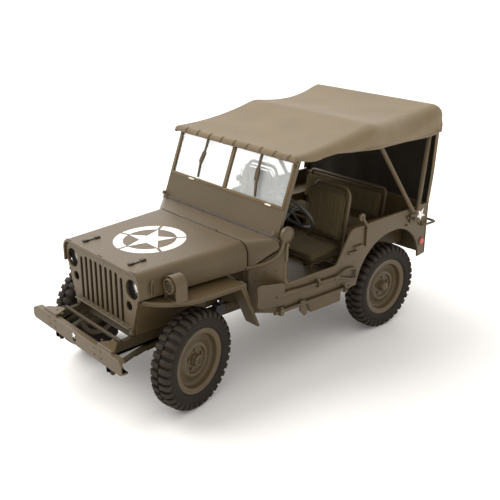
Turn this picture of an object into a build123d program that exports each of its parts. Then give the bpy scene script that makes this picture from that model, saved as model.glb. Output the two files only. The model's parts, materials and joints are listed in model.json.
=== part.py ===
"""A 1:18 display model of a wartime light 4x4 car with its soft top up, in millimetres.

Frame: +X forward, +Y to the car's left, +Z up, origin on the ground under the middle of the box.
"""
from build123d import *
from math import atan2, cos, degrees, hypot, radians, sin
import os

os.makedirs("parts", exist_ok=True)

# Driving sizes of the whole model
half_width = 44.2
wheelbase = 112.9
front_overhang = 30.85
rear_overhang = 25.1
spare_stack = 17.05
overall_length = front_overhang + wheelbase + rear_overhang + spare_stack
nose_x = overall_length / 2
tail_x = -overall_length / 2
front_axle_x = nose_x - front_overhang
rear_axle_x = front_axle_x - wheelbase
tub_tail_x = rear_axle_x - rear_overhang
sheet = 1.1
thin_sheet = 0.8
seat_gap = 0.3
touch_gap = 0.1
overrun = 2.0

SIDES = (("left", 1), ("right", -1))


def side_plane(y):
    """Upright plane along the car at y: its x runs forward and its y runs up, its normal to the right."""
    return Plane(origin=(0, y, 0), x_dir=(1, 0, 0), z_dir=(0, -1, 0))


def cross_plane(x):
    """Upright plane across the car at x: its x runs to the left and its y runs up, its normal forward."""
    return Plane(origin=(x, 0, 0), x_dir=(0, 1, 0), z_dir=(1, 0, 0))


def level(z):
    """Level plane at height z."""
    return Plane.XY.offset(z)


def slab_plane(side, inner_y, outer_y):
    """Side plane from which a slab reaches from outer_y to inner_y on the car's left (1) or right (-1)."""
    return side_plane(outer_y if side > 0 else -inner_y)


def rod(start, end, radius, mode=Mode.ADD):
    """Round bar from start to end, added to the part that is open."""
    along = Vector(*end) - Vector(*start)
    with BuildSketch(Plane(origin=start, z_dir=along), mode=Mode.PRIVATE) as disc:
        Circle(radius)
    extrude(disc.sketch, amount=along.length, mode=mode)


def block(low, high, mode=Mode.ADD):
    """Box between two corners, added to the part that is open."""
    size = Vector(*high) - Vector(*low)
    with BuildSketch(level(low[2]), mode=Mode.PRIVATE) as base:
        with Locations(((low[0] + high[0]) / 2, (low[1] + high[1]) / 2)):
            Rectangle(size.X, size.Y)
    extrude(base.sketch, amount=size.Z, mode=mode)


def plate(plane, points, depth, mode=Mode.ADD):
    """Flat plate with a straight-sided outline, added to the part that is open."""
    with BuildSketch(plane, mode=Mode.PRIVATE) as outline:
        Polygon(*points, align=None)
    extrude(outline.sketch, amount=depth, mode=mode)


def bent_tube(plane, points, corner, radius, mode=Mode.ADD):
    """Round tube of the given radius along a filleted line that is drawn on a plane."""
    with BuildLine(plane, mode=Mode.PRIVATE) as path:
        FilletPolyline(*points, radius=corner)
    wire = path.wire()
    with BuildSketch(Plane(origin=wire @ 0, z_dir=wire % 0), mode=Mode.PRIVATE) as disc:
        Circle(radius)
    sweep(disc.sketch, path=wire, mode=mode)


def between(low, high, share):
    """Value at a share of the way from low to high."""
    return low + (high - low) * share


def band(low_y, high_y, side):
    """The two sides of a band across the car, on its left (1) or right (-1), the lower value first."""
    return sorted((side * low_y, side * high_y))


def save(builder, name):
    """Label a finished piece and write it."""
    builder.part.label = name
    export_step(builder.part, f"parts/{name}.step")


# Wheels: the section runs along the axle (first value) and out from it (second value)
tyre_radius = 20.3
tyre_width = 9.2
tread_width = 6.8
shoulder_radius = 19.5
bead_radius = 12.1
flange_radius = 13.4
flange_thickness = 0.7
barrel_wall = 0.8
disc_thickness = 0.8
boss_radius = 6.9
boss_depth = 1.5
recess_radius = 5.6
recess_depth = 1.0
disc_offset = 0.6
hub_radius = 2.4
hub_length = 3.0
spindle_radius = 1.4
nut_circle_radius = 4.0
nut_radius = 0.5
nut_height = 0.5
nut_count = 5
drum_radius = 6.1
drum_depth = 1.2
drum_gap = 0.3
track_half = 34.6
wheel_z = tyre_radius
rim_half_width = tyre_width / 2 - 1.1

# Steering
kingpin_y = 30.3
rest_steer = 13.0
hub_reach = track_half - kingpin_y
kingpin_radius = 1.55
kingpin_half = 2.5
ear_gap = 0.2
ear_thickness = 0.9
ear_radius = 1.6
backing_radius = 6.2
backing_offset = 2.0
backing_thickness = 0.6
spindle_clearance = 0.06
arm_length = 7.0
arm_half_width = 0.9
arm_thickness = 0.9
tie_pin_radius = 0.45
tie_rod_radius = 0.5
tie_eye_radius = 1.2
tie_eye_height = 1.2
open_pivot_clearance = 0.3


def wheel_frame(x, y, side, turn):
    """Plane of a wheel's section: its x runs out along the axle and its y runs up."""
    out = Vector(-sin(radians(turn)) * side, cos(radians(turn)) * side, 0)
    reach = side * hub_reach
    centre = Vector(x - reach * sin(radians(turn)), y + reach * cos(radians(turn)), wheel_z)
    return Plane(origin=centre, x_dir=out, z_dir=out.cross(Vector(0, 0, 1)))


WHEELS = (
    # name, x, pivot y, side, steering angle at rest
    ("front_left", front_axle_x, kingpin_y, 1, rest_steer),
    ("front_right", front_axle_x, -kingpin_y, -1, rest_steer),
    ("rear_left", rear_axle_x, kingpin_y, 1, 0),
    ("rear_right", rear_axle_x, -kingpin_y, -1, 0),
)


def tyre_section():
    """Half of the tyre's outline, from bead to tread, mirrored about the wheel's plane."""
    half = tyre_width / 2
    bead_half = rim_half_width - flange_thickness / 2
    bulge_radius = (bead_radius + tyre_radius) / 2
    upper = [(bead_half, bead_radius), (bead_half, flange_radius + touch_gap),
             (half * 0.95, flange_radius + touch_gap + thin_sheet),
             (half, bulge_radius), (half * 0.97, shoulder_radius - thin_sheet),
             (tread_width / 2, tyre_radius)]
    return upper + [(-along, out) for along, out in reversed(upper)]


def rim_section():
    """The rim's outline: flanges, barrel, dished disc and hub, without the spindle's bore."""
    wide = rim_half_width
    outer = bead_radius - touch_gap
    inner = outer - barrel_wall
    face = disc_offset
    back = face - disc_thickness
    boss_face = face + boss_depth
    boss_back = boss_face - disc_thickness
    pit_face = boss_face - recess_depth
    bore = spindle_radius + spindle_clearance
    return [(wide + flange_thickness / 2, flange_radius), (wide - flange_thickness / 2, flange_radius),
            (wide - flange_thickness / 2, outer), (-wide + flange_thickness / 2, outer),
            (-wide + flange_thickness / 2, flange_radius), (-wide - flange_thickness / 2, flange_radius),
            (-wide - flange_thickness / 2, inner), (back, inner - thin_sheet), (back, drum_radius),
            (back - drum_depth, drum_radius), (back - drum_depth, drum_radius - thin_sheet),
            (back, drum_radius - thin_sheet), (back, hub_radius), (back - thin_sheet, hub_radius),
            (back - thin_sheet, bore), (pit_face + hub_length / 2, bore),
            (pit_face + hub_length / 2, hub_radius), (pit_face, hub_radius + thin_sheet),
            (pit_face, recess_radius), (boss_face, recess_radius + thin_sheet / 2),
            (boss_face, boss_radius), (face, boss_radius + thin_sheet), (face, inner - thin_sheet),
            (face + thin_sheet, inner), (wide + flange_thickness / 2, inner)]


def make_wheel(name, section):
    """Tyre and rim about the axle of the given section plane."""
    axle = Axis(section.origin, section.x_dir)
    with BuildPart() as tyre:
        with BuildSketch(section):
            Polygon(*tyre_section(), align=None)
        revolve(axis=axle)
    save(tyre, f"{name}_tyre")
    with BuildPart() as rim:
        with BuildSketch(section):
            Polygon(*rim_section(), align=None)
        revolve(axis=axle)
        pit = disc_offset + boss_depth - recess_depth
        face = Plane(origin=section.from_local_coords((pit, 0, 0)), x_dir=section.y_dir,
                     z_dir=section.x_dir)
        with BuildSketch(face):
            with PolarLocations(nut_circle_radius, nut_count):
                RegularPolygon(nut_radius, 6)
        extrude(amount=nut_height)
    save(rim, f"{name}_rim")


for wheel_name, wheel_x, pivot_y, wheel_side, steer in WHEELS:
    make_wheel(wheel_name, wheel_frame(wheel_x, pivot_y, wheel_side, steer))


# Chassis: rails as side outlines, and what bolts to them
rail_outer_y = 20.8
rail_width = 2.3
rail_depth = 4.8
rail_wall = 0.8
rail_low_z = 25.5
rail_kick = 4.2
rail_nose_drop = 1.2
bumper_height = 5.9
bumper_low_z = 23.4
bumper_half = 34.0
bumper_depth = 3.0
bumper_end_cut = 3.2
crank_hole_radius = 1.1
crank_hole_drop = 0.6
gusset_half = 5.1
gusset_thickness = 0.8
gusset_reach = 4.2
frame_tail_x = tub_tail_x + sheet + seat_gap
cross_member_height = 2.4
cross_member_depth = 3.0
rail_inner_y = rail_outer_y - rail_width
bumper_back_x = nose_x - bumper_depth
axle_radius = 1.8
spring_seat = 0.3
spring_half_width = 1.15
spring_y = rail_outer_y - rail_width / 2
spring_reach = 19.0
front_spring_nose = 26.6
front_spring_tail = 24.0
rear_spring_nose = 25.5
rear_spring_tail = 21.5
spring_leaves = 4
leaf_step = 0.5
axle_pot_radius = 4.4
axle_pot_y = -9.0
axle_pot_width = 5.0

# The side outline of the rails: place along the car, and the lower edge there
RAIL_LINE = (
    (frame_tail_x, rail_low_z + rail_kick * 0.7),
    (rear_axle_x - spring_reach * 0.6, rail_low_z + rail_kick),
    (rear_axle_x + spring_reach * 0.6, rail_low_z + rail_kick),
    (rear_axle_x + spring_reach * 1.3, rail_low_z),
    (front_axle_x + spring_reach * 0.8, rail_low_z),
    (bumper_back_x, rail_low_z - rail_nose_drop),
)
CROSS_MEMBERS = (
    # middle along the car, lower edge
    (frame_tail_x + cross_member_depth / 2, rail_low_z + rail_kick * 0.7 + rail_wall),
    (rear_axle_x + spring_reach * 1.45, rail_low_z + rail_wall),
    (front_axle_x - spring_reach * 1.9, rail_low_z + rail_wall),
    (front_axle_x + spring_reach * 0.65, rail_low_z + rail_wall),
)
member_top_z = rail_low_z + rail_wall + cross_member_height
nose_bar_x = front_axle_x + 22.3
nose_bar_radius = 0.8
spring_low_z = wheel_z + axle_radius + spring_seat + touch_gap
eye_radius = 0.9
eye_pin_radius = 0.4
shackle_wall = 0.5
shackle_radius = 1.2
shackle_gap = 0.1
front_eye_z = 18.6
rear_eye_z = 22.6
SPRINGS = (
    # axle along the car, tail eye and nose eye along the car, tail eye height, nose eye height
    (front_axle_x, front_axle_x - front_spring_tail, front_axle_x + front_spring_nose, rear_eye_z,
     front_eye_z),
    (rear_axle_x, rear_axle_x - rear_spring_tail, rear_axle_x + rear_spring_nose, rear_eye_z, rear_eye_z),
)


def rail_low_at(x):
    """Height of the rails' lower edge at a place along the car."""
    for (rear_x, rear_z), (front_x, front_z) in zip(RAIL_LINE, RAIL_LINE[1:]):
        if rear_x <= x <= front_x:
            return between(rear_z, front_z, (x - rear_x) / (front_x - rear_x))
    return rail_low_z


with BuildPart() as frame:
    for side_name, side in SIDES:
        low = list(RAIL_LINE)
        high = [(x, z + rail_depth) for x, z in reversed(RAIL_LINE)]
        plate(slab_plane(side, rail_inner_y, rail_outer_y), low + high, rail_width)
    for member_x, member_z in CROSS_MEMBERS:
        block((member_x - cross_member_depth / 2, -rail_inner_y, member_z),
              (member_x + cross_member_depth / 2, rail_inner_y, member_z + cross_member_height))
    nose_bar_z = rail_low_at(nose_bar_x) + rail_depth + nose_bar_radius / 2
    rod((nose_bar_x, -rail_outer_y, nose_bar_z), (nose_bar_x, rail_outer_y, nose_bar_z), nose_bar_radius)
    for axle_x, tail_eye_x, nose_eye_x, tail_eye_z, nose_eye_z in SPRINGS:
        for eye_x, eye_z in ((tail_eye_x, tail_eye_z), (nose_eye_x, nose_eye_z)):
            top_z = rail_low_at(eye_x) + shackle_radius
            for side_name, side in SIDES:
                for edge in (-1, 1):
                    near = spring_y + edge * (spring_half_width + shackle_gap)
                    low_y, high_y = band(near, near + edge * shackle_wall, side)
                    rod((eye_x, low_y, eye_z), (eye_x, high_y, eye_z), shackle_radius)
                    block((eye_x - shackle_radius, low_y, eye_z), (eye_x + shackle_radius, high_y, top_z))
                low_y, high_y = band(spring_y - spring_half_width - shackle_gap - shackle_wall,
                                     spring_y + spring_half_width + shackle_gap + shackle_wall, side)
                rod((eye_x, low_y, eye_z), (eye_x, high_y, eye_z), eye_pin_radius)
                block((eye_x - shackle_radius, low_y, top_z - shackle_radius - shackle_wall),
                      (eye_x + shackle_radius, high_y, top_z))
save(frame, "frame")

with BuildPart() as front_bumper:
    high = bumper_low_z + bumper_height
    face = [(-bumper_half, bumper_low_z + bumper_end_cut / 3),
            (-bumper_half + bumper_end_cut / 3, bumper_low_z),
            (bumper_half - bumper_end_cut / 3, bumper_low_z),
            (bumper_half, bumper_low_z + bumper_end_cut / 3),
            (bumper_half, high - bumper_end_cut / 2), (bumper_half - bumper_end_cut, high),
            (-bumper_half + bumper_end_cut, high), (-bumper_half, high - bumper_end_cut / 2)]
    plate(cross_plane(bumper_back_x), face, bumper_depth)
    block((bumper_back_x, -bumper_half - overrun, bumper_low_z + sheet),
          (nose_x - sheet, bumper_half + overrun, high - sheet), mode=Mode.SUBTRACT)
    rod((bumper_back_x, 0, bumper_low_z + bumper_height / 2 - crank_hole_drop),
        (nose_x + overrun, 0, bumper_low_z + bumper_height / 2 - crank_hole_drop),
        crank_hole_radius, mode=Mode.SUBTRACT)
    gusset_low_z = rail_low_at(bumper_back_x - gusset_reach) + rail_depth + touch_gap
    for side_name, side in SIDES:
        low_y, high_y = band(rail_inner_y - gusset_half / 2, rail_outer_y + gusset_half, side)
        block((bumper_back_x, low_y, high - sheet),
              (nose_x - sheet, high_y, gusset_low_z + gusset_thickness))
        with BuildSketch(level(gusset_low_z)):
            Polygon((nose_x - sheet, side * (rail_outer_y + gusset_half)),
                    (nose_x - sheet, side * (rail_inner_y - gusset_half / 2)),
                    (bumper_back_x, side * (rail_inner_y - gusset_half / 2)),
                    (bumper_back_x - gusset_reach, side * rail_inner_y),
                    (bumper_back_x - gusset_reach, side * rail_outer_y),
                    (bumper_back_x, side * (rail_outer_y + gusset_half)),
                    align=None)
        extrude(amount=gusset_thickness)
save(front_bumper, "front_bumper")


def make_axle(name, axle_x, half_length, steered):
    """Beam axle with its offset differential, spring seats and the ends that carry the wheels."""
    with BuildPart() as axle:
        rod((axle_x, -half_length, wheel_z), (axle_x, half_length, wheel_z), axle_radius)
        section = Plane(origin=(axle_x, axle_pot_y, wheel_z), x_dir=(0, 1, 0), z_dir=(1, 0, 0))
        with BuildSketch(section):
            Polygon((-axle_pot_width, 0), (-axle_pot_width, axle_radius * 1.2),
                    (-axle_pot_width / 2, axle_pot_radius), (axle_pot_width / 2, axle_pot_radius),
                    (axle_pot_width, axle_radius * 1.2), (axle_pot_width, 0), align=None)
        revolve(axis=Axis((axle_x, axle_pot_y, wheel_z), (0, 1, 0)))
        for side_name, side in SIDES:
            block((axle_x - axle_radius, side * spring_y - spring_half_width, wheel_z),
                  (axle_x + axle_radius, side * spring_y + spring_half_width,
                   wheel_z + axle_radius + spring_seat))
            if steered:
                root = side * half_length
                pin = side * kingpin_y
                near, far = sorted((root - side * ear_thickness, root + side * ear_thickness / 2))
                top = kingpin_half + ear_gap + ear_thickness
                block((axle_x - ear_radius, near, wheel_z - top), (axle_x + ear_radius, far, wheel_z + top))
                for up in (1, -1):
                    low, high = sorted((up * (top - ear_thickness), up * top))
                    near, far = sorted((root, pin))
                    block((axle_x - ear_radius, near, wheel_z + low),
                          (axle_x + ear_radius, far, wheel_z + high))
                    rod((axle_x, pin, wheel_z + low), (axle_x, pin, wheel_z + high), ear_radius)
            else:
                flange = side * (track_half + disc_offset - disc_thickness - drum_depth - drum_gap)
                rod((axle_x, flange, wheel_z), (axle_x, flange - side * backing_thickness, wheel_z),
                    backing_radius)
                rod((axle_x, side * half_length, wheel_z), (axle_x, side * spindle_end_y, wheel_z),
                    spindle_radius)
    save(axle, name)


front_axle_half = kingpin_y - 2 * ear_radius
rear_axle_half = track_half + disc_offset - disc_thickness - drum_depth - drum_gap
spindle_end_y = track_half + disc_offset + boss_depth - recess_depth + hub_length / 2 - touch_gap
make_axle("front_axle", front_axle_x, front_axle_half, True)
make_axle("rear_axle", rear_axle_x, rear_axle_half, False)


def steered_plane(side, z):
    """Level plane at a kingpin, turned with the wheel: its x runs forward and its y to the car's left."""
    turned = Vector(cos(radians(rest_steer)), sin(radians(rest_steer)), 0)
    return Plane(origin=(front_axle_x, side * kingpin_y, z), x_dir=turned, z_dir=(0, 0, 1))


arm_top_z = wheel_z - kingpin_half - ear_gap - ear_thickness - ear_gap
for side_name, side in SIDES:
    with BuildPart() as knuckle:
        with BuildSketch(steered_plane(side, wheel_z - kingpin_half)):
            Circle(kingpin_radius)
        extrude(amount=2 * kingpin_half)
        hub = wheel_frame(front_axle_x, side * kingpin_y, side, rest_steer)
        pin = hub.from_local_coords((-hub_reach, 0, 0))
        disc_in = hub.from_local_coords((-hub_reach + backing_offset, 0, 0))
        disc_out = hub.from_local_coords((-hub_reach + backing_offset + backing_thickness, 0, 0))
        tip = hub.from_local_coords((disc_offset + boss_depth - recess_depth + hub_length / 2 - touch_gap,
                                     0, 0))
        rod(pin, tip, spindle_radius)
        rod(disc_in, disc_out, backing_radius)
        with BuildSketch(steered_plane(side, arm_top_z - arm_thickness)):
            root = side * (backing_offset + backing_thickness / 2)
            Polygon((arm_half_width * 2, side * backing_offset), (arm_half_width * 2, root),
                    (-arm_half_width * 2, root), (-arm_length, side * arm_half_width),
                    (-arm_length, -side * arm_half_width), align=None)
            with Locations((-arm_length, 0)):
                Circle(arm_half_width)
        extrude(amount=arm_thickness)
        with BuildSketch(steered_plane(side, arm_top_z - arm_thickness - tie_eye_height)):
            with Locations((-arm_length, 0)):
                Circle(tie_pin_radius)
        extrude(amount=tie_eye_height)
    save(knuckle, f"{side_name}_knuckle")

tie_ends = [steered_plane(side, 0).from_local_coords((-arm_length, 0, 0)) for side in (1, -1)]
tie_z = arm_top_z - arm_thickness - ear_gap - tie_eye_height / 2
with BuildPart() as tie_rod:
    for end in tie_ends:
        rod((end.X, end.Y, tie_z - tie_eye_height / 2), (end.X, end.Y, tie_z + tie_eye_height / 2),
            tie_eye_radius)
    rod(tuple(Vector(tie_ends[1].X, tie_ends[1].Y, tie_z)), (tie_ends[0].X, tie_ends[0].Y, tie_z),
        tie_rod_radius)
    for end, clearance in zip(tie_ends, (spindle_clearance, open_pivot_clearance)):
        rod((end.X, end.Y, tie_z - tie_eye_height), (end.X, end.Y, tie_z + tie_eye_height),
            tie_pin_radius + clearance, mode=Mode.SUBTRACT)
save(tie_rod, "tie_rod")

# Leaf springs, arched between the pins of their shackles, with shorter leaves under the main one
spring_main_z = spring_low_z + spring_leaves * leaf_step


def spring_half(axle_x, eye_x, eye_z):
    """Lower and upper edge of one half of a spring, from its eye to the axle."""
    lower, upper = [], []
    for index in range(spring_leaves + 2):
        share = 1 - index / (spring_leaves + 1)
        x = between(axle_x, eye_x, share)
        z = between(spring_main_z, eye_z, share ** 2)
        upper.append((x, z + leaf_step))
        lower.append((x, z - max(index - 1, 0) * leaf_step))
        if 0 < index <= spring_leaves:
            lower.append((x, z - index * leaf_step))
    return lower, upper


with BuildPart() as leaf_springs:
    for axle_x, tail_eye_x, nose_eye_x, tail_eye_z, nose_eye_z in SPRINGS:
        tail_lower, tail_upper = spring_half(axle_x, tail_eye_x, tail_eye_z)
        nose_lower, nose_upper = spring_half(axle_x, nose_eye_x, nose_eye_z)
        for side_name, side in SIDES:
            inner, outer = band(spring_y - spring_half_width, spring_y + spring_half_width, side)
            with BuildSketch(side_plane(outer)):
                Polygon(*tail_lower, *nose_lower[-2::-1], *nose_upper, *tail_upper[-2::-1], align=None)
                for eye_x, eye_z in ((tail_eye_x, tail_eye_z), (nose_eye_x, nose_eye_z)):
                    with Locations((eye_x, eye_z)):
                        Circle(eye_radius)
                for eye_x, eye_z in ((tail_eye_x, tail_eye_z), (nose_eye_x, nose_eye_z)):
                    with Locations((eye_x, eye_z)):
                        Circle(eye_pin_radius + spindle_clearance, mode=Mode.SUBTRACT)
            extrude(amount=outer - inner)
save(leaf_springs, "leaf_springs")


# Steering column: its line is set here, because the toe board and the firewall have its hole
column_y = 22.0
wheel_centre_x = -3.0
wheel_centre_z = 64.3
column_foot_x = 38.0
column_foot_z = 31.6
column_radius = 0.8
column_hole = 0.5
column_start = Vector(wheel_centre_x, column_y, wheel_centre_z)
column_end = Vector(column_foot_x, column_y, column_foot_z)
column_along = (column_end - column_start).normalized()

# Tub: floor, wheel boxes, sides and tail
side_y = 40.6
floor_z = rail_low_z + rail_depth + seat_gap
rear_floor_z = rail_low_z + rail_kick + rail_depth + seat_gap
sill_z = 28.6
side_top_front_z = 55.8
side_top_rear_z = 57.3
tail_low_z = 32.0
firewall_x = front_axle_x - 32.4
door_front_x = firewall_x - 11.4
door_low_z = 41.0
door_rear_x = rear_axle_x + 37.5
door_top_x = door_rear_x - 9.2
door_corner = 4.5
post_top_z = 61.0
arch_centre_x = rear_axle_x
arch_top_z = 48.9
arch_radius = 24.4
arch_tail_x = rear_axle_x - 19.9
flare_inner_y = 31.0
wheel_box_inner_y = 26.5
wheel_box_top_z = 50.6
wheel_box_front_x = rear_axle_x + arch_radius
kick_x = rear_axle_x + spring_reach * 1.35
side_inner_y = side_y - sheet
arch_centre_z = arch_top_z - arch_radius
arch_low_x = arch_centre_x + (arch_radius ** 2 - (sill_z - arch_centre_z) ** 2) ** 0.5

flare_front_x = firewall_x - seat_gap
bead_low_z = 49.0

for side_name, side in SIDES:
    with BuildPart() as side_panel:
        with BuildSketch(slab_plane(side, side_inner_y, side_y)):
            with BuildLine():
                Line((door_front_x, sill_z), (door_front_x, post_top_z))
                Line((door_front_x, post_top_z), (door_front_x - sheet, post_top_z))
                FilletPolyline((door_front_x - sheet, post_top_z), (door_front_x - sheet, door_low_z),
                               (door_rear_x, door_low_z), (door_top_x, side_top_front_z),
                               (tub_tail_x, side_top_rear_z), radius=(door_corner, door_corner, sheet))
                Line((tub_tail_x, side_top_rear_z), (tub_tail_x, tail_low_z))
                Line((tub_tail_x, tail_low_z), (arch_tail_x, tail_low_z - thin_sheet))
                ThreePointArc((arch_tail_x, tail_low_z - thin_sheet),
                              (arch_centre_x - arch_radius * 0.52, arch_top_z - arch_radius * 0.14),
                              (arch_centre_x, arch_top_z))
                ThreePointArc((arch_centre_x, arch_top_z),
                              (arch_centre_x + arch_radius * cos(radians(45)),
                               arch_centre_z + arch_radius * sin(radians(45))), (arch_low_x, sill_z))
                Line((arch_low_x, sill_z), (door_front_x, sill_z))
            make_face()
        extrude(amount=sheet)
        with BuildSketch(level(sill_z)):
            Polygon((door_front_x, side * side_y), (flare_front_x, side * flare_inner_y),
                    (flare_front_x, side * (flare_inner_y - sheet)), (door_front_x, side * side_inner_y),
                    align=None)
        extrude(amount=post_top_z - sill_z)
        plate(slab_plane(side, wheel_box_inner_y, side_y + overrun),
              [(flare_front_x + overrun, bead_low_z - 3 * sheet),
               (door_front_x + sheet, post_top_z - 4 * sheet),
               (door_front_x + sheet, post_top_z + overrun),
               (flare_front_x + overrun, post_top_z + overrun)],
              side_y + overrun - wheel_box_inner_y, mode=Mode.SUBTRACT)
    save(side_panel, f"{side_name}_side_panel")

with BuildPart() as rear_panel:
    block((tub_tail_x, -side_inner_y + seat_gap, tail_low_z),
          (tub_tail_x + sheet, side_inner_y - seat_gap, side_top_rear_z))
save(rear_panel, "rear_panel")

tub_inner_y = side_inner_y - seat_gap
tub_rear_x = tub_tail_x + sheet + seat_gap
toe_low_x = door_front_x - sheet
toe_high_z = 41.0
with BuildPart() as tub_floor:
    block((kick_x, -tub_inner_y, floor_z), (toe_low_x, tub_inner_y, floor_z + sheet))
    block((tub_rear_x, -wheel_box_inner_y, rear_floor_z),
          (kick_x + sheet, wheel_box_inner_y, rear_floor_z + sheet))
    block((kick_x, -tub_inner_y, floor_z), (kick_x + sheet, tub_inner_y, rear_floor_z + sheet))
    plate(side_plane(flare_inner_y - sheet - seat_gap),
          [(toe_low_x, floor_z), (firewall_x - sheet - seat_gap, toe_high_z),
           (firewall_x - sheet - seat_gap, toe_high_z + sheet), (toe_low_x - sheet / 2, floor_z + sheet)],
          2 * (flare_inner_y - sheet - seat_gap))
    for side_name, side in SIDES:
        inner, outer = sorted((side * wheel_box_inner_y, side * tub_inner_y))
        block((tub_rear_x, inner, wheel_box_top_z - sheet), (wheel_box_front_x, outer, wheel_box_top_z))
        near, far = sorted((side * wheel_box_inner_y, side * (wheel_box_inner_y + sheet)))
        block((tub_rear_x, near, rear_floor_z), (wheel_box_front_x, far, wheel_box_top_z))
        block((wheel_box_front_x - sheet, inner, floor_z), (wheel_box_front_x, outer, wheel_box_top_z))
    rod(tuple(column_start), tuple(column_end), column_radius + column_hole, mode=Mode.SUBTRACT)
save(tub_floor, "tub_floor")

# Cowl and bonnet share their sections: half width, top, lower edge and shoulder radius at a place
bonnet_gap = 0.5
bonnet_front_x = front_axle_x + 17.9
bonnet_top_front_z = 57.8
bonnet_top_rear_z = 59.8
bonnet_half_front = 28.0
bonnet_half_rear = 31.4
bonnet_low_front_z = 47.8
bonnet_low_rear_z = 48.4
shoulder_front = 4.5
shoulder_rear = 5.0
screen_foot_x = firewall_x - 9.1
screen_foot_z = 61.6
cowl_half_rear = side_y - 0.6
cowl_low_rear_z = 57.6
cowl_shoulder_rear = 3.0


def arch_section(plane, half, low, top, shoulder):
    """Closed arch across the car: upright sides, round shoulders and a flat top."""
    with BuildSketch(plane, mode=Mode.PRIVATE) as section:
        with BuildLine():
            Line((-half, low), (half, low))
            Line((half, low), (half, top - shoulder))
            RadiusArc((half, top - shoulder), (half - shoulder, top), -shoulder)
            Line((half - shoulder, top), (-half + shoulder, top))
            RadiusArc((-half + shoulder, top), (-half, top - shoulder), -shoulder)
            Line((-half, top - shoulder), (-half, low))
        make_face()
    return section.sketch


def arch_shell(stations, wall):
    """Shell lofted through stations (x, half, low, top, shoulder), open below and at both ends."""
    loft([arch_section(cross_plane(x), half, low, top, shoulder)
          for x, half, low, top, shoulder in stations], ruled=True)
    inner = []
    for x, half, low, top, shoulder in stations:
        inner.append(arch_section(cross_plane(x), half - wall, low - overrun, top - wall, shoulder - wall))
    loft(inner, ruled=True, mode=Mode.SUBTRACT)


bonnet_rear_x = firewall_x + bonnet_gap
with BuildPart() as bonnet:
    arch_shell([(bonnet_rear_x, bonnet_half_rear, bonnet_low_rear_z, bonnet_top_rear_z, shoulder_rear),
                (bonnet_front_x, bonnet_half_front, bonnet_low_front_z, bonnet_top_front_z,
                 shoulder_front)], sheet)
save(bonnet, "bonnet")

with BuildPart() as cowl:
    arch_shell([(screen_foot_x, cowl_half_rear, cowl_low_rear_z, screen_foot_z - seat_gap,
                 cowl_shoulder_rear),
                (firewall_x, bonnet_half_rear, bonnet_low_rear_z, bonnet_top_rear_z, shoulder_rear)], sheet)
    with BuildSketch(cross_plane(firewall_x - sheet)):
        with BuildLine():
            wide = bonnet_half_rear - sheet / 2
            top = bonnet_top_rear_z - sheet / 2
            Polyline((-wide + overrun, toe_high_z + sheet + seat_gap),
                     (wide - overrun, toe_high_z + sheet + seat_gap),
                     (wide - overrun, bonnet_low_rear_z), (wide, bonnet_low_rear_z),
                     (wide, top - shoulder_rear),
                     (wide - shoulder_rear, top), (-wide + shoulder_rear, top),
                     (-wide, top - shoulder_rear),
                     (-wide, bonnet_low_rear_z), (-wide + overrun, bonnet_low_rear_z),
                     (-wide + overrun, toe_high_z + sheet + seat_gap))
        make_face()
    extrude(amount=sheet)
    rod(tuple(column_start), tuple(column_end), column_radius + column_hole, mode=Mode.SUBTRACT)
save(cowl, "cowl")

# Grille, fenders and what fills the nose
grille_x = front_axle_x + 17.1
grille_thickness = 1.4
grille_low_z = 33.2
grille_low_half = 21.2
grille_mid_z = 50.0
grille_half = 26.9
grille_top_z = bonnet_top_front_z - sheet - seat_gap
grille_shoulder = 3.4
headlamp_y = 21.9
headlamp_z = 50.3
headlamp_radius = 4.0
marker_y = 19.6
marker_z = 43.0
marker_radius = 1.9
slot_count = 9
slot_pitch = 3.68
slot_width = 1.7
slot_low_z = 34.4
slot_high_z = 53.9
slot_drop = 1.0
flange_reach = 1.3

with BuildPart() as grille:
    with BuildSketch(cross_plane(grille_x - grille_thickness)):
        with BuildLine():
            FilletPolyline((-grille_half, grille_mid_z), (-grille_low_half, grille_low_z),
                           (grille_low_half, grille_low_z), (grille_half, grille_mid_z),
                           (grille_half, grille_top_z), (-grille_half, grille_top_z),
                           radius=(sheet, sheet, sheet, sheet, grille_shoulder, grille_shoulder),
                           close=True)
        make_face()
        for side_name, side in SIDES:
            with Locations((side * headlamp_y, headlamp_z)):
                Circle(headlamp_radius, mode=Mode.SUBTRACT)
            with Locations((side * marker_y, marker_z)):
                Circle(marker_radius, mode=Mode.SUBTRACT)
        for index in range(slot_count):
            from_middle = index - (slot_count - 1) / 2
            top = slot_high_z - (slot_drop if abs(from_middle) == (slot_count - 1) / 2 else 0)
            with Locations((from_middle * slot_pitch, (slot_low_z + top) / 2)):
                SlotOverall(top - slot_low_z, slot_width, rotation=90, mode=Mode.SUBTRACT)
    extrude(amount=grille_thickness)
    block((grille_x - touch_gap, -grille_low_half + sheet, grille_low_z),
          (grille_x + flange_reach, grille_low_half - sheet, grille_low_z + thin_sheet))
    for side_name, side in SIDES:
        low_y, high_y = band(rail_inner_y, rail_outer_y, side)
        block((grille_x - grille_thickness, low_y, rail_low_z + rail_depth + touch_gap),
              (grille_x, high_y, grille_low_z + sheet))
save(grille, "grille")

# Front fenders: a flat top with a curved nose, a rolled edge, a slanted rear leg and a sloping inner wall
fender_top_z = 46.7
fender_outer_y = 38.6
fender_inner_y = 25.6
fender_nose_x = grille_x - grille_thickness - touch_gap
fender_bend_x = front_axle_x - 24.5
fender_tip_x = flare_front_x + touch_gap
fender_tip_z = 25.6
fender_edge_drop = 1.7
fender_wall_tail_x = fender_bend_x + 6.4
fender_wall_nose_x = fender_nose_x
fender_nose_run = 19.0

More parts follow.
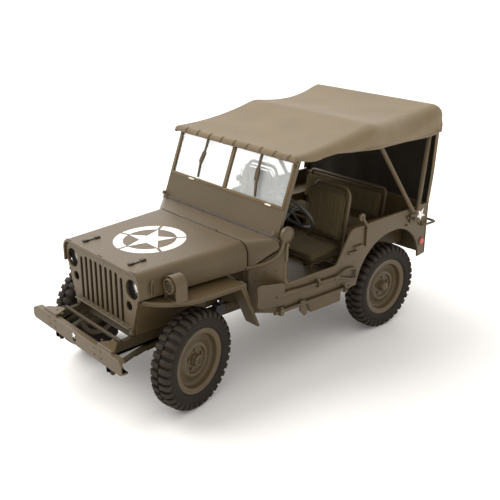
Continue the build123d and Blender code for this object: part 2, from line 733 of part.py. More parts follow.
for side_name, side in SIDES:
    with BuildPart() as fender:
        nose = fender_outer_y - fender_inner_y
        curve_start = (fender_nose_x, side * fender_inner_y)
        curve_end = (fender_nose_x - fender_nose_run, side * fender_outer_y)
        middle = (fender_nose_x - fender_nose_run * 0.36, side * (fender_inner_y + nose * 0.63))
        with BuildSketch(level(fender_top_z - sheet)):
            with BuildLine():
                ThreePointArc(curve_start, middle, curve_end)
                Polyline(curve_end, (fender_bend_x, side * fender_outer_y),
                         (fender_bend_x, side * fender_inner_y),
                         curve_start)
            make_face()
        extrude(amount=sheet)
        with BuildSketch(level(fender_top_z - fender_edge_drop)):
            with BuildLine():
                ThreePointArc(curve_start, middle, curve_end)
                Polyline(curve_end, (fender_bend_x, side * fender_outer_y),
                         (fender_bend_x, side * (fender_outer_y - thin_sheet)),
                         (curve_end[0], side * (fender_outer_y - thin_sheet)))
                ThreePointArc((curve_end[0], side * (fender_outer_y - thin_sheet)),
                              (middle[0] - thin_sheet * 0.7, middle[1] - side * thin_sheet * 0.7),
                              (curve_start[0] - thin_sheet, curve_start[1]))
                Line((curve_start[0] - thin_sheet, curve_start[1]), curve_start)
            make_face()
        extrude(amount=fender_edge_drop)
        plate(slab_plane(side, flare_inner_y, fender_outer_y),
              [(fender_bend_x + sheet, fender_top_z), (fender_bend_x, fender_top_z),
               (fender_tip_x, fender_tip_z), (fender_tip_x + sheet, fender_tip_z),
               (fender_bend_x + 2 * sheet, fender_top_z - sheet)], fender_outer_y - flare_inner_y)
        slope = (grille_half - grille_low_half) / (grille_mid_z - grille_low_z)
        wall_low_y = grille_low_half - sheet
        wall_top_y = wall_low_y + slope * (fender_top_z - grille_low_z)
        plate(cross_plane(fender_wall_tail_x),
              [(side * wall_low_y, grille_low_z), (side * wall_top_y, fender_top_z),
               (side * (wall_top_y + sheet), fender_top_z), (side * (wall_low_y + sheet), grille_low_z)],
              fender_wall_nose_x - fender_wall_tail_x)
        inner, outer = band(wall_top_y, fender_inner_y + sheet, side)
        block((fender_bend_x, inner, fender_top_z - sheet), (fender_wall_nose_x, outer, fender_top_z))
        inner, outer = band(wall_low_y, wall_low_y + sheet, side)
        block((fender_wall_tail_x, inner, rail_low_z + rail_depth + touch_gap),
              (fender_wall_nose_x, outer, grille_low_z))
    save(fender, f"{side_name}_fender")

# Windscreen: a frame in its raked plane, with a solid lower panel and two panes
screen_rise = 30.4
screen_rake = 11.2
screen_half = 38.5
screen_thickness = 1.6
screen_panel = 12.2
screen_side = 1.9
screen_top = 1.7
screen_divider = 0.9
screen_height = hypot(screen_rise, screen_rake)
glass_thickness = 0.6
screen_lean = degrees(atan2(screen_rake, screen_rise))
screen_up = Vector(-sin(radians(screen_lean)), 0, cos(radians(screen_lean)))
screen_out = Vector(cos(radians(screen_lean)), 0, sin(radians(screen_lean)))
screen_foot = Vector(screen_foot_x, 0, screen_foot_z)


def screen_plane(depth):
    """Plane of the windscreen, depth behind its front face: its x runs left and its y up the screen."""
    return Plane(origin=screen_foot - screen_out * depth, x_dir=(0, 1, 0), z_dir=screen_out)


with BuildPart() as windscreen_frame:
    with BuildSketch(screen_plane(screen_thickness)):
        with Locations((0, screen_height / 2)):
            Rectangle(2 * screen_half, screen_height)
        pane_height = screen_height - screen_panel - screen_top
        pane_width = screen_half - screen_side - screen_divider / 2
        for side_name, side in SIDES:
            with Locations((side * (screen_divider / 2 + pane_width / 2), screen_panel + pane_height / 2)):
                Rectangle(pane_width, pane_height, mode=Mode.SUBTRACT)
    extrude(amount=screen_thickness)
save(windscreen_frame, "windscreen_frame")

with BuildPart() as windscreen_glass:
    with BuildSketch(screen_plane((screen_thickness + glass_thickness) / 2)):
        for side_name, side in SIDES:
            with Locations((side * (screen_divider / 2 + pane_width / 2), screen_panel + pane_height / 2)):
                Rectangle(pane_width - 2 * touch_gap, pane_height - 2 * touch_gap)
    extrude(amount=glass_thickness)
save(windscreen_glass, "windscreen_glass")

wiper_box = 1.5
wiper_stations = (-0.42, 0.5)
with BuildPart() as wipers:
    for station in wiper_stations:
        y = station * screen_half
        top = screen_height - screen_top / 2
        motor = Plane(origin=screen_foot + screen_up * top + Vector(0, y,
                                                                    0) + screen_out * (-screen_thickness - touch_gap),
                      x_dir=(0, 1, 0), z_dir=-screen_out)
        with BuildSketch(motor):
            Rectangle(wiper_box, wiper_box)
        extrude(amount=wiper_box)
save(wipers, "wipers")

# Soft top: skin lofted over the bows, hanging lower between them, with the rear curtain
bow_radius = 1.0
canopy_wall = 0.9
bow1_x = rear_axle_x + 16.6
bow2_x = tub_tail_x - 1.5
bow1_top_z = 99.6
bow_rise = 3.0
bow2_top_z = bow1_top_z + bow_rise
bow_pivot_x = rear_axle_x - 13.6
bow_pivot_z = 55.8
bow_pivot_gap = 3.2
canopy_half = 41.0
canopy_front_half = 39.8
canopy_front_x = screen_foot_x - screen_rake + 2.2
canopy_front_top_z = screen_foot_z + screen_rise + 1.5
canopy_front_low_z = canopy_front_top_z - 2.7
canopy_front_shoulder = 1.6
canopy_sag = 1.8
canopy_hem_z = bow1_top_z - 10.0
canopy_shoulder = 5.5
canopy_tail_drop = 3.2
canopy_tail_gap = 1.0
curtain_low_z = side_top_rear_z + seat_gap
curtain_low_x = tub_tail_x - seat_gap
canopy_tail_x = bow2_x - bow_radius - canopy_wall - canopy_tail_gap

CANOPY = (
    # place along the car, half width, hem height, top height, shoulder radius
    (canopy_front_x, canopy_front_half, canopy_front_low_z, canopy_front_top_z, canopy_front_shoulder),
    (between(canopy_front_x, bow1_x, 0.5), between(canopy_front_half, canopy_half, 0.5),
     between(canopy_front_low_z, canopy_hem_z, 0.5), between(canopy_front_top_z, bow1_top_z, 0.45),
     between(canopy_front_shoulder, canopy_shoulder, 0.5)),
    (bow1_x, canopy_half, canopy_hem_z, bow1_top_z + canopy_wall, canopy_shoulder),
    (between(bow1_x, bow2_x, 0.45), canopy_half, canopy_hem_z,
     between(bow1_top_z, bow2_top_z, 0.45) + canopy_wall - canopy_sag, canopy_shoulder),
    (bow2_x - bow_radius, canopy_half, canopy_hem_z, bow2_top_z + canopy_wall, canopy_shoulder),
    (canopy_tail_x, canopy_half - thin_sheet, canopy_hem_z, bow2_top_z - canopy_tail_drop, canopy_shoulder),
)
with BuildPart() as canopy:
    loft([arch_section(cross_plane(x), half, low, top, shoulder) for x, half, low, top, shoulder in CANOPY],
         ruled=True)
    inner = []
    for index, (x, half, low, top, shoulder) in enumerate(CANOPY):
        place = x
        if index == 0:
            place = x - canopy_wall
        if index == len(CANOPY) - 1:
            place = x + canopy_wall
        inner.append(arch_section(cross_plane(place), half - canopy_wall, low - overrun, top - canopy_wall,
                                  shoulder - canopy_wall))
    loft(inner, ruled=True, mode=Mode.SUBTRACT)
    curtain_half = canopy_half - canopy_wall
    plate(side_plane(curtain_half),
          [(canopy_tail_x, canopy_hem_z + canopy_wall), (curtain_low_x - canopy_wall, curtain_low_z),
           (curtain_low_x, curtain_low_z), (canopy_tail_x + canopy_wall, canopy_hem_z + canopy_wall)],
          2 * curtain_half)
save(canopy, "canopy")

bow_half = canopy_half - canopy_wall - bow_radius - seat_gap
BOWS = (
    # lower end along the car, top along the car, top height
    (bow_pivot_x + bow_pivot_gap / 2, bow1_x, bow1_top_z),
    (bow_pivot_x - bow_pivot_gap / 2, bow2_x, bow2_top_z),
)
bow_foot_y = side_y + bow_radius + seat_gap
with BuildPart() as canopy_bows:
    for low_x, top_x, top_z in BOWS:
        foot = Vector(low_x, 0, bow_pivot_z)
        peak = Vector(top_x, 0, top_z - bow_radius - seat_gap)
        up = (peak - foot).normalized()
        length = (peak - foot).length
        plane = Plane(origin=foot, x_dir=(0, 1, 0), z_dir=Vector(0, 1, 0).cross(up))
        bent_tube(plane, [(-bow_foot_y, 0), (-bow_half, length * 0.8), (-bow_half, length),
                          (bow_half, length),
                          (bow_half, length * 0.8), (bow_foot_y, 0)],
                          canopy_shoulder - canopy_wall - bow_radius, bow_radius)
save(canopy_bows, "canopy_bows")

# Front seats: bent tube frames with a sprung pan, and their pads
seat_inner_y = 11.8
seat_outer_y = 34.6
seat_front_x = door_rear_x + 9.8
seat_back_x = seat_front_x - 18.5
seat_pan_z = 42.6
cushion_height = 5.0
cushion_nose_drop = 1.2
back_low_z = 49.4
back_top_z = 71.0
back_lean = 3.0
back_thickness = 3.2
back_corner = 4.5
seat_tube = 0.8
seat_mid_y = (seat_inner_y + seat_outer_y) / 2
seat_half = (seat_outer_y - seat_inner_y) / 2
seat_floor_z = floor_z + sheet

with BuildPart() as front_seat_frames:
    for side_name, side in SIDES:
        middle = side * seat_mid_y
        half = seat_half - seat_tube
        block((seat_back_x - 2 * seat_tube, middle - half, seat_pan_z - thin_sheet),
              (seat_front_x - seat_tube, middle + half, seat_pan_z))
        for leg_x in (seat_front_x - 2 * seat_tube, seat_back_x + seat_tube):
            for leg_y in (middle - half + seat_tube, middle + half - seat_tube):
                rod((leg_x, leg_y, seat_floor_z), (leg_x, leg_y, seat_pan_z), seat_tube)
        foot = Vector(seat_back_x - 2 * seat_tube, middle, seat_pan_z - thin_sheet)
        peak = Vector(seat_back_x - back_lean - back_thickness / 2 - seat_tube - seat_gap, middle,
                      back_top_z + seat_tube)
        up = (peak - foot).normalized()
        rise = (peak - foot).length
        plane = Plane(origin=foot, x_dir=(0, 1, 0), z_dir=Vector(0, 1, 0).cross(up))
        bent_tube(plane, [(-half, 0), (-half, rise), (half, rise), (half, 0)], back_corner, seat_tube)
save(front_seat_frames, "front_seat_frames")

with BuildPart() as front_seat_pads:
    for side_name, side in SIDES:
        middle = side * seat_mid_y
        with BuildSketch(side_plane(middle + seat_half)):
            with BuildLine():
                FilletPolyline((seat_back_x + back_thickness * 0.3, seat_pan_z + seat_gap),
                               (seat_front_x, seat_pan_z + seat_gap),
                               (seat_front_x, seat_pan_z + cushion_height - cushion_nose_drop),
                               (seat_back_x + back_thickness * 0.3, seat_pan_z + cushion_height),
                               radius=thin_sheet, close=True)
            make_face()
        extrude(amount=2 * seat_half)
        foot = Vector(seat_back_x + back_thickness / 2, middle, back_low_z)
        lean = Vector(-back_lean, 0, back_top_z - back_low_z).normalized()
        plane = Plane(origin=foot, x_dir=(0, 1, 0), z_dir=lean.cross(Vector(0, 1, 0)) * -1)
        with BuildSketch(plane):
            rise = (back_top_z - back_low_z)
            with BuildLine():
                FilletPolyline((-seat_half, 0), (seat_half, 0), (seat_half, rise), (-seat_half, rise),
                               radius=(thin_sheet, thin_sheet, back_corner, back_corner), close=True)
            make_face()
        extrude(amount=-back_thickness)
save(front_seat_pads, "front_seat_pads")

# Rear bench between the wheel boxes
bench_front_x = rear_axle_x + 6.8
bench_back_x = bench_front_x - 16.0
bench_half = wheel_box_inner_y - seat_gap - seat_tube
bench_z = 44.0
bench_cushion = 4.2
bench_back_top_z = 62.0
bench_floor_z = rear_floor_z + sheet
with BuildPart() as rear_seat_frame:
    block((bench_back_x - 2 * seat_tube, -bench_half, bench_z - thin_sheet),
          (bench_front_x, bench_half, bench_z))
    for leg_x in (bench_front_x - 2 * seat_tube, bench_back_x + 2 * seat_tube):
        for leg_y in (-bench_half + 2 * seat_tube, bench_half - 2 * seat_tube):
            rod((leg_x, leg_y, bench_floor_z), (leg_x, leg_y, bench_z), seat_tube)
    foot = Vector(bench_back_x - seat_tube, 0, bench_z - thin_sheet)
    peak = Vector(bench_back_x - back_lean - seat_tube, 0, bench_back_top_z + seat_tube)
    up = (peak - foot).normalized()
    plane = Plane(origin=foot, x_dir=(0, 1, 0), z_dir=Vector(0, 1, 0).cross(up))
    bent_tube(plane, [(-bench_half + seat_tube, 0), (-bench_half + seat_tube, (peak - foot).length),
                      (bench_half - seat_tube, (peak - foot).length), (bench_half - seat_tube, 0)],
                      back_corner / 2, seat_tube)
save(rear_seat_frame, "rear_seat_frame")

with BuildPart() as rear_seat_pads:
    block((bench_back_x + back_thickness, -bench_half, bench_z + seat_gap),
          (bench_front_x, bench_half, bench_z + bench_cushion))
    foot = Vector(bench_back_x + back_thickness * 0.8 + seat_gap, 0, bench_z + bench_cushion + seat_gap)
    lean = Vector(-back_lean, 0, bench_back_top_z - foot.Z).normalized()
    plane = Plane(origin=foot, x_dir=(0, 1, 0), z_dir=lean.cross(Vector(0, 1, 0)) * -1)
    with BuildSketch(plane):
        with BuildLine():
            rise = bench_back_top_z - foot.Z
            FilletPolyline((-bench_half, 0), (bench_half, 0), (bench_half, rise), (-bench_half, rise),
                           radius=thin_sheet, close=True)
        make_face()
    extrude(amount=-back_thickness * 0.8)
save(rear_seat_pads, "rear_seat_pads")

# Steering wheel and the column with its box on the left rail
steering_radius = 12.1
steering_rim = 0.7
wheel_hub_radius = 1.7
wheel_hub_height = 1.2
spoke_radius = 0.4
spoke_count = 3
rim_facets = 10
steering_box_length = 4.4
steering_box_height = 5.0
steering_box_width = 2.8
column_lean = Plane(origin=column_start, x_dir=(0, 1, 0), z_dir=column_along * -1)

with BuildPart() as steering_wheel:
    with BuildSketch(Plane(origin=column_start, x_dir=column_lean.x_dir, z_dir=column_lean.y_dir)):
        with Locations((steering_radius - steering_rim, 0)):
            RegularPolygon(steering_rim, rim_facets)
    revolve(axis=Axis(column_start, column_along))
    with BuildSketch(column_lean.offset(-wheel_hub_height)):
        Circle(wheel_hub_radius)
    extrude(amount=wheel_hub_height * 1.5)
    for index in range(spoke_count):
        turn = radians(90 + 360 / spoke_count * index)
        spoke = steering_radius - steering_rim
        tip = column_lean.from_local_coords((cos(turn) * spoke, sin(turn) * spoke, 0))
        rod(tuple(column_start), tuple(tip), spoke_radius)
save(steering_wheel, "steering_wheel")

with BuildPart() as steering_column:
    start = column_lean.from_local_coords((0, 0, -wheel_hub_height - seat_gap))
    rod(tuple(start), tuple(column_end), column_radius)
    block((column_foot_x - steering_box_length / 2, rail_outer_y + touch_gap,
           column_foot_z - steering_box_height + column_radius),
          (column_foot_x + steering_box_length / 2, rail_outer_y + touch_gap + steering_box_width,
           column_foot_z + column_radius))
save(steering_column, "steering_column")

# Engine: block, head, fan and belt pulley, air cleaner and manifold on its right
engine_front_x = front_axle_x + 3.9
engine_rear_x = firewall_x + 5.3
engine_half = 5.6
engine_low_z = 28.8
head_low_z = 43.0
head_top_z = 47.5
head_inset = 0.9
fan_z = 41.0
fan_radius = 7.6
fan_hub_radius = 1.4
fan_reach = 3.0
fan_blade_radius = 0.6
fan_blades = 4
pan_low_z = 24.6
pan_inset = 1.5
mount_length = 2.6
mount_height = 1.6
with BuildPart() as engine:
    block((engine_rear_x, -engine_half, engine_low_z), (engine_front_x, engine_half, head_low_z))
    block((engine_rear_x + head_inset, -engine_half + head_inset, head_low_z),
          (engine_front_x - head_inset, engine_half - head_inset, head_top_z))
    block((engine_rear_x + pan_inset, -engine_half + pan_inset, pan_low_z),
          (front_axle_x - axle_pot_radius - pan_inset, engine_half - pan_inset, engine_low_z))
    rod((engine_front_x, 0, fan_z), (engine_front_x + fan_reach, 0, fan_z), fan_hub_radius)
    block((engine_front_x - mount_length, -rail_inner_y + touch_gap, engine_low_z),
          (engine_front_x, rail_inner_y - touch_gap, engine_low_z + mount_height))
    for index in range(fan_blades):
        turn = radians(45 + 360 / fan_blades * index)
        root = (engine_front_x + fan_reach - fan_blade_radius, 0, fan_z)
        rod(root, (root[0], fan_radius * cos(turn), fan_z + fan_radius * sin(turn)), fan_blade_radius)
save(engine, "engine")

radiator_gap = 2.6
radiator_depth = 3.2
radiator_half = 14.0
radiator_low_z = member_top_z + touch_gap
radiator_top_z = 54.6
radiator_back_x = grille_x - grille_thickness - radiator_gap - radiator_depth
with BuildPart() as radiator:
    block((radiator_back_x, -radiator_half, radiator_low_z),
          (radiator_back_x + radiator_depth, radiator_half, radiator_top_z))
save(radiator, "radiator")

battery_length = 9.5
battery_width = 8.5
battery_height = 10.0
battery_y = -19.8
battery_low_z = 40.6
battery_gap = 1.2
battery_tray = 0.8
with BuildPart() as battery:
    back_x = firewall_x + battery_gap
    block((back_x, battery_y - battery_width / 2, battery_low_z),
          (back_x + battery_length, battery_y + battery_width / 2, battery_low_z + battery_height))
    block((firewall_x + touch_gap, battery_y - battery_width / 2, battery_low_z - battery_tray),
          (back_x + battery_length, battery_y + battery_width / 2, battery_low_z))
save(battery, "battery")

# Gearbox behind the engine, transfer case and the two propeller shafts
bell_radius = 5.4
bell_tail_radius = 3.6
bell_z = 32.6
bell_foot_half = 1.3
transfer_x = firewall_x - 15.7
transfer_length = 8.0
transfer_low_z = 23.6
transfer_high_z = floor_z - seat_gap
transfer_left_y = 3.0
shaft_radius = 0.9
shaft_high_z = 25.0
with BuildPart() as gearbox:
    with BuildSketch(cross_plane(engine_rear_x - touch_gap)):
        with Locations((0, bell_z + bell_radius - bell_tail_radius)):
            Circle(bell_radius)
    with BuildSketch(cross_plane(firewall_x - sheet - overrun)):
        with Locations((0, bell_z)):
            Circle(bell_tail_radius)
    loft()
    member_x = CROSS_MEMBERS[2][0]
    block((member_x, -bell_foot_half, member_top_z + touch_gap),
          (member_x + bell_foot_half, bell_foot_half, bell_z))
save(gearbox, "gearbox")

shaft_y = axle_pot_y
SHAFTS = (
    # end at the transfer case, end at the axle
    (transfer_x + transfer_length / 2, front_axle_x - axle_pot_radius - seat_gap),
    (transfer_x - transfer_length / 2, rear_axle_x + axle_pot_radius + seat_gap),
)
with BuildPart() as propshafts:
    for near_x, far_x in SHAFTS:
        rod((near_x, shaft_y, shaft_high_z), (far_x, shaft_y, wheel_z), shaft_radius)
    block((transfer_x - transfer_length / 2, shaft_y - bell_tail_radius, transfer_low_z),
          (transfer_x + transfer_length / 2, transfer_left_y, transfer_high_z))
save(propshafts, "propshafts")

# Lamps: headlamps behind the grille, the guarded driving lamp on the left fender, tail lamps and reflectors
lamp_depth = 4.4
lamp_radius = 4.5
lens_radius = 4.1
marker_lamp_radius = 2.2
marker_lamp_depth = 2.0
lamp_face_x = grille_x - grille_thickness - seat_gap
with BuildPart() as front_lamps:
    for side_name, side in SIDES:
        with BuildSketch(Plane(origin=(lamp_face_x, side * headlamp_y, headlamp_z), x_dir=(1, 0, 0),
                               z_dir=(0, -1, 0))):
            Polygon((0, 0), (0, lens_radius), (-thin_sheet, lamp_radius), (-2 * thin_sheet, lamp_radius),
                    (-lamp_depth * 0.7, lamp_radius * 0.6), (-lamp_depth, lamp_radius * 0.3),
                    (-lamp_depth, 0),
                    align=None)
        revolve(axis=Axis((0, side * headlamp_y, headlamp_z), (1, 0, 0)))
        rod((lamp_face_x - marker_lamp_depth, side * marker_y, marker_z),
            (lamp_face_x, side * marker_y, marker_z),
            marker_lamp_radius)
save(front_lamps, "front_lamps")

drive_lamp_x = grille_x - 8.5
drive_lamp_y = 33.2
drive_lamp_radius = 3.0
drive_lamp_depth = 5.2
drive_lamp_dome = 1.5
drive_lamp_rise = 6.3
drive_lamp_z = fender_top_z + drive_lamp_rise
guard_radius = 3.9
guard_width = 5.2
guard_wall = 0.6
guard_x = drive_lamp_x - 0.7 * drive_lamp_depth
foot_radius = 0.8
with BuildPart() as blackout_lamp:
    with BuildSketch(Plane(origin=(drive_lamp_x, drive_lamp_y, drive_lamp_z), x_dir=(1, 0, 0),
                           z_dir=(0, -1, 0))):
        Polygon((-sheet, 0), (-sheet, drive_lamp_radius - guard_wall), (0, drive_lamp_radius - guard_wall),
                (0, drive_lamp_radius), (-drive_lamp_depth, drive_lamp_radius),
                (-drive_lamp_depth - drive_lamp_dome, drive_lamp_radius * 0.6),
                (-drive_lamp_depth - drive_lamp_dome, 0),
                align=None)
    revolve(axis=Axis((0, drive_lamp_y, drive_lamp_z), (1, 0, 0)))
    rod((guard_x, drive_lamp_y, fender_top_z + touch_gap), (guard_x, drive_lamp_y, drive_lamp_z),
        foot_radius)
    block((guard_x - guard_width / 2, drive_lamp_y - guard_radius, fender_top_z + touch_gap),
          (guard_x + guard_width / 2, drive_lamp_y + guard_radius, fender_top_z + touch_gap + guard_wall))
    with BuildSketch(cross_plane(guard_x - guard_width / 2)):
        with Locations((drive_lamp_y, drive_lamp_z)):
            Circle(guard_radius)
            Circle(guard_radius - guard_wall, mode=Mode.SUBTRACT)
            with Locations((0, -guard_radius)):
                Rectangle(2 * guard_radius, 2 * (guard_radius - guard_wall), mode=Mode.SUBTRACT)
        for side in (1, -1):
            leg_y = drive_lamp_y + side * (guard_radius - guard_wall / 2)
            with Locations((leg_y, between(fender_top_z + touch_gap, drive_lamp_z, 0.5))):
                Rectangle(guard_wall, drive_lamp_rise - touch_gap)
    extrude(amount=guard_width)
save(blackout_lamp, "blackout_lamp")

reflector_radius = 1.9
reflector_depth = 0.9
reflector_x = tub_tail_x + 3.3
reflector_z = 38.9
tail_lamp_radius = 1.8
tail_lamp_depth = 1.8
tail_lamp_y = 35.5
tail_lamp_z = 41.5
with BuildPart() as tail_lamps:
    for side_name, side in SIDES:
        rod((reflector_x, side * side_y, reflector_z),
            (reflector_x, side * (side_y + reflector_depth), reflector_z),
            reflector_radius)
        rod((tub_tail_x, side * tail_lamp_y, tail_lamp_z),
            (tub_tail_x - tail_lamp_depth, side * tail_lamp_y, tail_lamp_z),
            tail_lamp_radius)
save(tail_lamps, "tail_lamps")

# Shovel and axe along the left side
tool_gap = 0.3
handle_radius = 0.75
tool_y = side_y + tool_gap + handle_radius
blade_front_x = firewall_x + 4.1
blade_rear_x = blade_front_x - 14.9
blade_top_z = 45.4
blade_low_z = 35.2
blade_slope = 2.6
blade_thickness = 0.8
grip_front_x = blade_rear_x - 31.9
grip_rear_x = grip_front_x - 12.6
grip_z = 36.6
grip_half = 2.6
grip_drop = 1.4
grip_radius = 0.6
with BuildPart() as shovel:
    plate(side_plane(tool_y + blade_thickness / 2),
          [(blade_front_x, blade_top_z), (blade_front_x, blade_low_z),
           (blade_rear_x, blade_low_z - blade_slope),
           (blade_rear_x, blade_top_z - blade_slope)], blade_thickness)
    socket_z = between(blade_low_z, blade_top_z, 0.5) - blade_slope
    rod((blade_rear_x + handle_radius, tool_y, socket_z), (grip_front_x, tool_y, grip_z), handle_radius)
    grip_mid_x = between(grip_front_x, grip_rear_x, 0.35)
    with BuildSketch(side_plane(tool_y + grip_radius), mode=Mode.PRIVATE) as grip:
        Polygon((grip_front_x + handle_radius, grip_z), (grip_mid_x, grip_z + grip_half),
                (grip_rear_x, grip_z + grip_half - grip_drop),
                (grip_rear_x, grip_z - grip_half - grip_drop),
                (grip_mid_x, grip_z - grip_half), align=None)
        offset(amount=-2 * grip_radius, kind=Kind.INTERSECTION, mode=Mode.SUBTRACT)
    extrude(grip.sketch, amount=2 * grip_radius)
save(shovel, "shovel")

axe_front_x = door_front_x + 6.1
axe_rear_x = axe_front_x - 45.4
axe_z = 30.6
axe_rear_z = 29.9
axe_head_x = axe_front_x - 16.0
axe_eye_half = 1.3
axe_blade_low_z = 24.4
axe_blade_half = 2.9
axe_thickness = 1.1
with BuildPart() as axe:
    rod((axe_front_x, tool_y, axe_z), (axe_rear_x, tool_y, axe_rear_z), handle_radius)
    plate(side_plane(tool_y + axe_thickness / 2),
          [(axe_head_x + axe_eye_half, axe_z + axe_eye_half),
           (axe_head_x - axe_eye_half, axe_z + axe_eye_half),
           (axe_head_x - axe_blade_half, axe_blade_low_z + axe_eye_half),
           (axe_head_x - axe_eye_half, axe_blade_low_z),
           (axe_head_x + axe_eye_half, axe_blade_low_z + axe_blade_half)], axe_thickness)
save(axe, "axe")

# Clamps that hold the tools to the side
strap_width = 1.6
strap_wall = 0.5
post_x = door_top_x - 5.1
post_low_z = 46.3
post_high_z = 60.7
post_lean = 4.0
post_radius = 0.7
post_knob_radius = 1.75
CLAMPS = (
    # place along the car, height of the handle's middle there
    (axe_rear_x + 2 * strap_width, between(axe_rear_z, axe_z,
                                           2 * strap_width / (axe_front_x - axe_rear_x))),
    (axe_front_x - 2 * strap_width, between(axe_z, axe_rear_z,
                                            2 * strap_width / (axe_front_x - axe_rear_x))),
    (between(blade_rear_x, grip_front_x, 0.62), between(socket_z, grip_z, 0.62)),
)
with BuildPart() as tool_clamps:
    for clamp_x, clamp_z in CLAMPS:
        reach = handle_radius + strap_wall + touch_gap
        block((clamp_x - strap_width / 2, side_y + touch_gap, clamp_z - reach),
              (clamp_x + strap_width / 2, tool_y + reach, clamp_z + reach))
        rod((clamp_x - strap_width, tool_y, clamp_z), (clamp_x + strap_width, tool_y, clamp_z),
            handle_radius + touch_gap, mode=Mode.SUBTRACT)
save(tool_clamps, "tool_clamps")

# Fuel tank under the driver's seat, with its slanted front end
tank_front_x = door_front_x - 15.2
tank_rear_x = tank_front_x - 22.6
tank_slant = 3.7
tank_low_z = 22.2
tank_outer_y = 38.4
tank_width = 15.0
with BuildPart() as fuel_tank:
    plate(side_plane(tank_outer_y),
          [(tank_front_x, floor_z - seat_gap), (tank_rear_x, floor_z - seat_gap), (tank_rear_x, tank_low_z),
           (tank_front_x - tank_slant, tank_low_z)], tank_width)
save(fuel_tank, "fuel_tank")

# Spare wheel and can on the tail
spare_y = -15.5
spare_z = 44.5
spare_plate_radius = 5.0
spare_plate_depth = 2.1
spare_stud_radius = 1.3
spare_centre_x = tail_x + tyre_width / 2
with BuildPart() as spare_carrier:
    rod((tub_tail_x - touch_gap, spare_y, spare_z), (tub_tail_x - spare_plate_depth, spare_y, spare_z),
        spare_plate_radius)
    rod((tub_tail_x - spare_plate_depth, spare_y, spare_z),
        (spare_centre_x - disc_offset - boss_depth, spare_y, spare_z),
        spare_stud_radius)
save(spare_carrier, "spare_carrier")
make_wheel("spare", Plane(origin=(spare_centre_x, spare_y, spare_z), x_dir=(-1, 0, 0), z_dir=(0, 1, 0)))

can_y = 21.0
can_low_z = 32.4
can_width = 19.2
can_depth = 9.0
can_height = 24.4
can_gap = 1.2
can_corner = 1.6
rack_height = 4.4
rack_front_x = tub_tail_x - touch_gap
rack_rear_x = rack_front_x - can_gap - can_depth - seat_gap - thin_sheet
with BuildPart() as jerry_can:
    with BuildSketch(level(can_low_z)):
        with Locations((rack_front_x - can_gap - can_depth / 2, can_y)):
            RectangleRounded(can_depth, can_width, can_corner)
    extrude(amount=can_height)
save(jerry_can, "jerry_can")

with BuildPart() as jerry_can_rack:
    rack_half = can_width / 2 + seat_gap + thin_sheet
    rack_low_z = can_low_z - seat_gap - thin_sheet
    block((rack_rear_x, can_y - rack_half, rack_low_z),
          (rack_front_x, can_y + rack_half, rack_low_z + rack_height))
    block((rack_rear_x + thin_sheet, can_y - rack_half + thin_sheet, rack_low_z + thin_sheet),
          (rack_front_x - can_gap + seat_gap, can_y + rack_half - thin_sheet,
           rack_low_z + rack_height + overrun),
          mode=Mode.SUBTRACT)
save(jerry_can_rack, "jerry_can_rack")

# Exhaust, tow hook, handles, mirror, levers and bow brackets
muffler_y = -26.5
muffler_z = 26.2
muffler_radius = 2.6
muffler_front_x = transfer_x
muffler_rear_x = muffler_front_x - 26.0
pipe_radius = 0.9
pipe_front_x = muffler_front_x + 12.0
pipe_rear_x = muffler_rear_x - 10.5
hanger_inset = 4.0
hanger_half_width = 0.5
with BuildPart() as exhaust:
    rod((muffler_rear_x, muffler_y, muffler_z), (muffler_front_x, muffler_y, muffler_z), muffler_radius)
    rod((pipe_rear_x, muffler_y, muffler_z), (pipe_front_x, muffler_y, muffler_z), pipe_radius)
    for strap_x in (muffler_rear_x + hanger_inset, muffler_front_x - hanger_inset):
        block((strap_x - hanger_half_width, muffler_y - hanger_half_width, muffler_z),
              (strap_x + hanger_half_width, muffler_y + hanger_half_width, floor_z - touch_gap))
save(exhaust, "exhaust")

hook_half = 3.0
hook_plate = 1.6
hook_reach = 6.4
hook_radius = 1.1
hook_z = 33.6
with BuildPart() as pintle_hook:
    block((tub_tail_x - hook_plate, -hook_half / 2, hook_z - hook_half / 2),
          (tub_tail_x - touch_gap, hook_half * 0.6, hook_z + hook_half / 2))
    rod((tub_tail_x - hook_plate, 0, hook_z), (tub_tail_x - hook_reach, 0, hook_z), hook_radius)
save(pintle_hook, "pintle_hook")

handle_tube = 0.6
handle_z = 47.6
handle_reach = 4.6
handle_out = 1.7
handle_inset = 5.0
handle_bend = 1.5
with BuildPart() as grab_handles:
    for side_name, side in SIDES:
        back = tub_tail_x - handle_reach
        out = side * (side_y + handle_out)
        bent_tube(level(handle_z), [(tub_tail_x - touch_gap, side * (side_y - handle_inset)),
                                    (back, side * (side_y - handle_inset)), (back, out),
                                    (tub_tail_x + handle_reach, out),
                                    (tub_tail_x + handle_reach, side * (side_y + touch_gap))],
                  handle_bend, handle_tube)
save(grab_handles, "grab_handles")

mirror_x = door_front_x - 0.5
mirror_z = 63.2
mirror_radius = 3.3
mirror_depth = 0.9
mirror_arm_low_z = 52.0
with BuildPart() as mirror:
    rod((mirror_x, side_y + touch_gap, mirror_z), (mirror_x, side_y + touch_gap + mirror_depth, mirror_z),
        mirror_radius)
    block((door_front_x - sheet, side_y + touch_gap, mirror_arm_low_z),
          (door_front_x, side_y + touch_gap + mirror_depth, mirror_z))
save(mirror, "mirror")

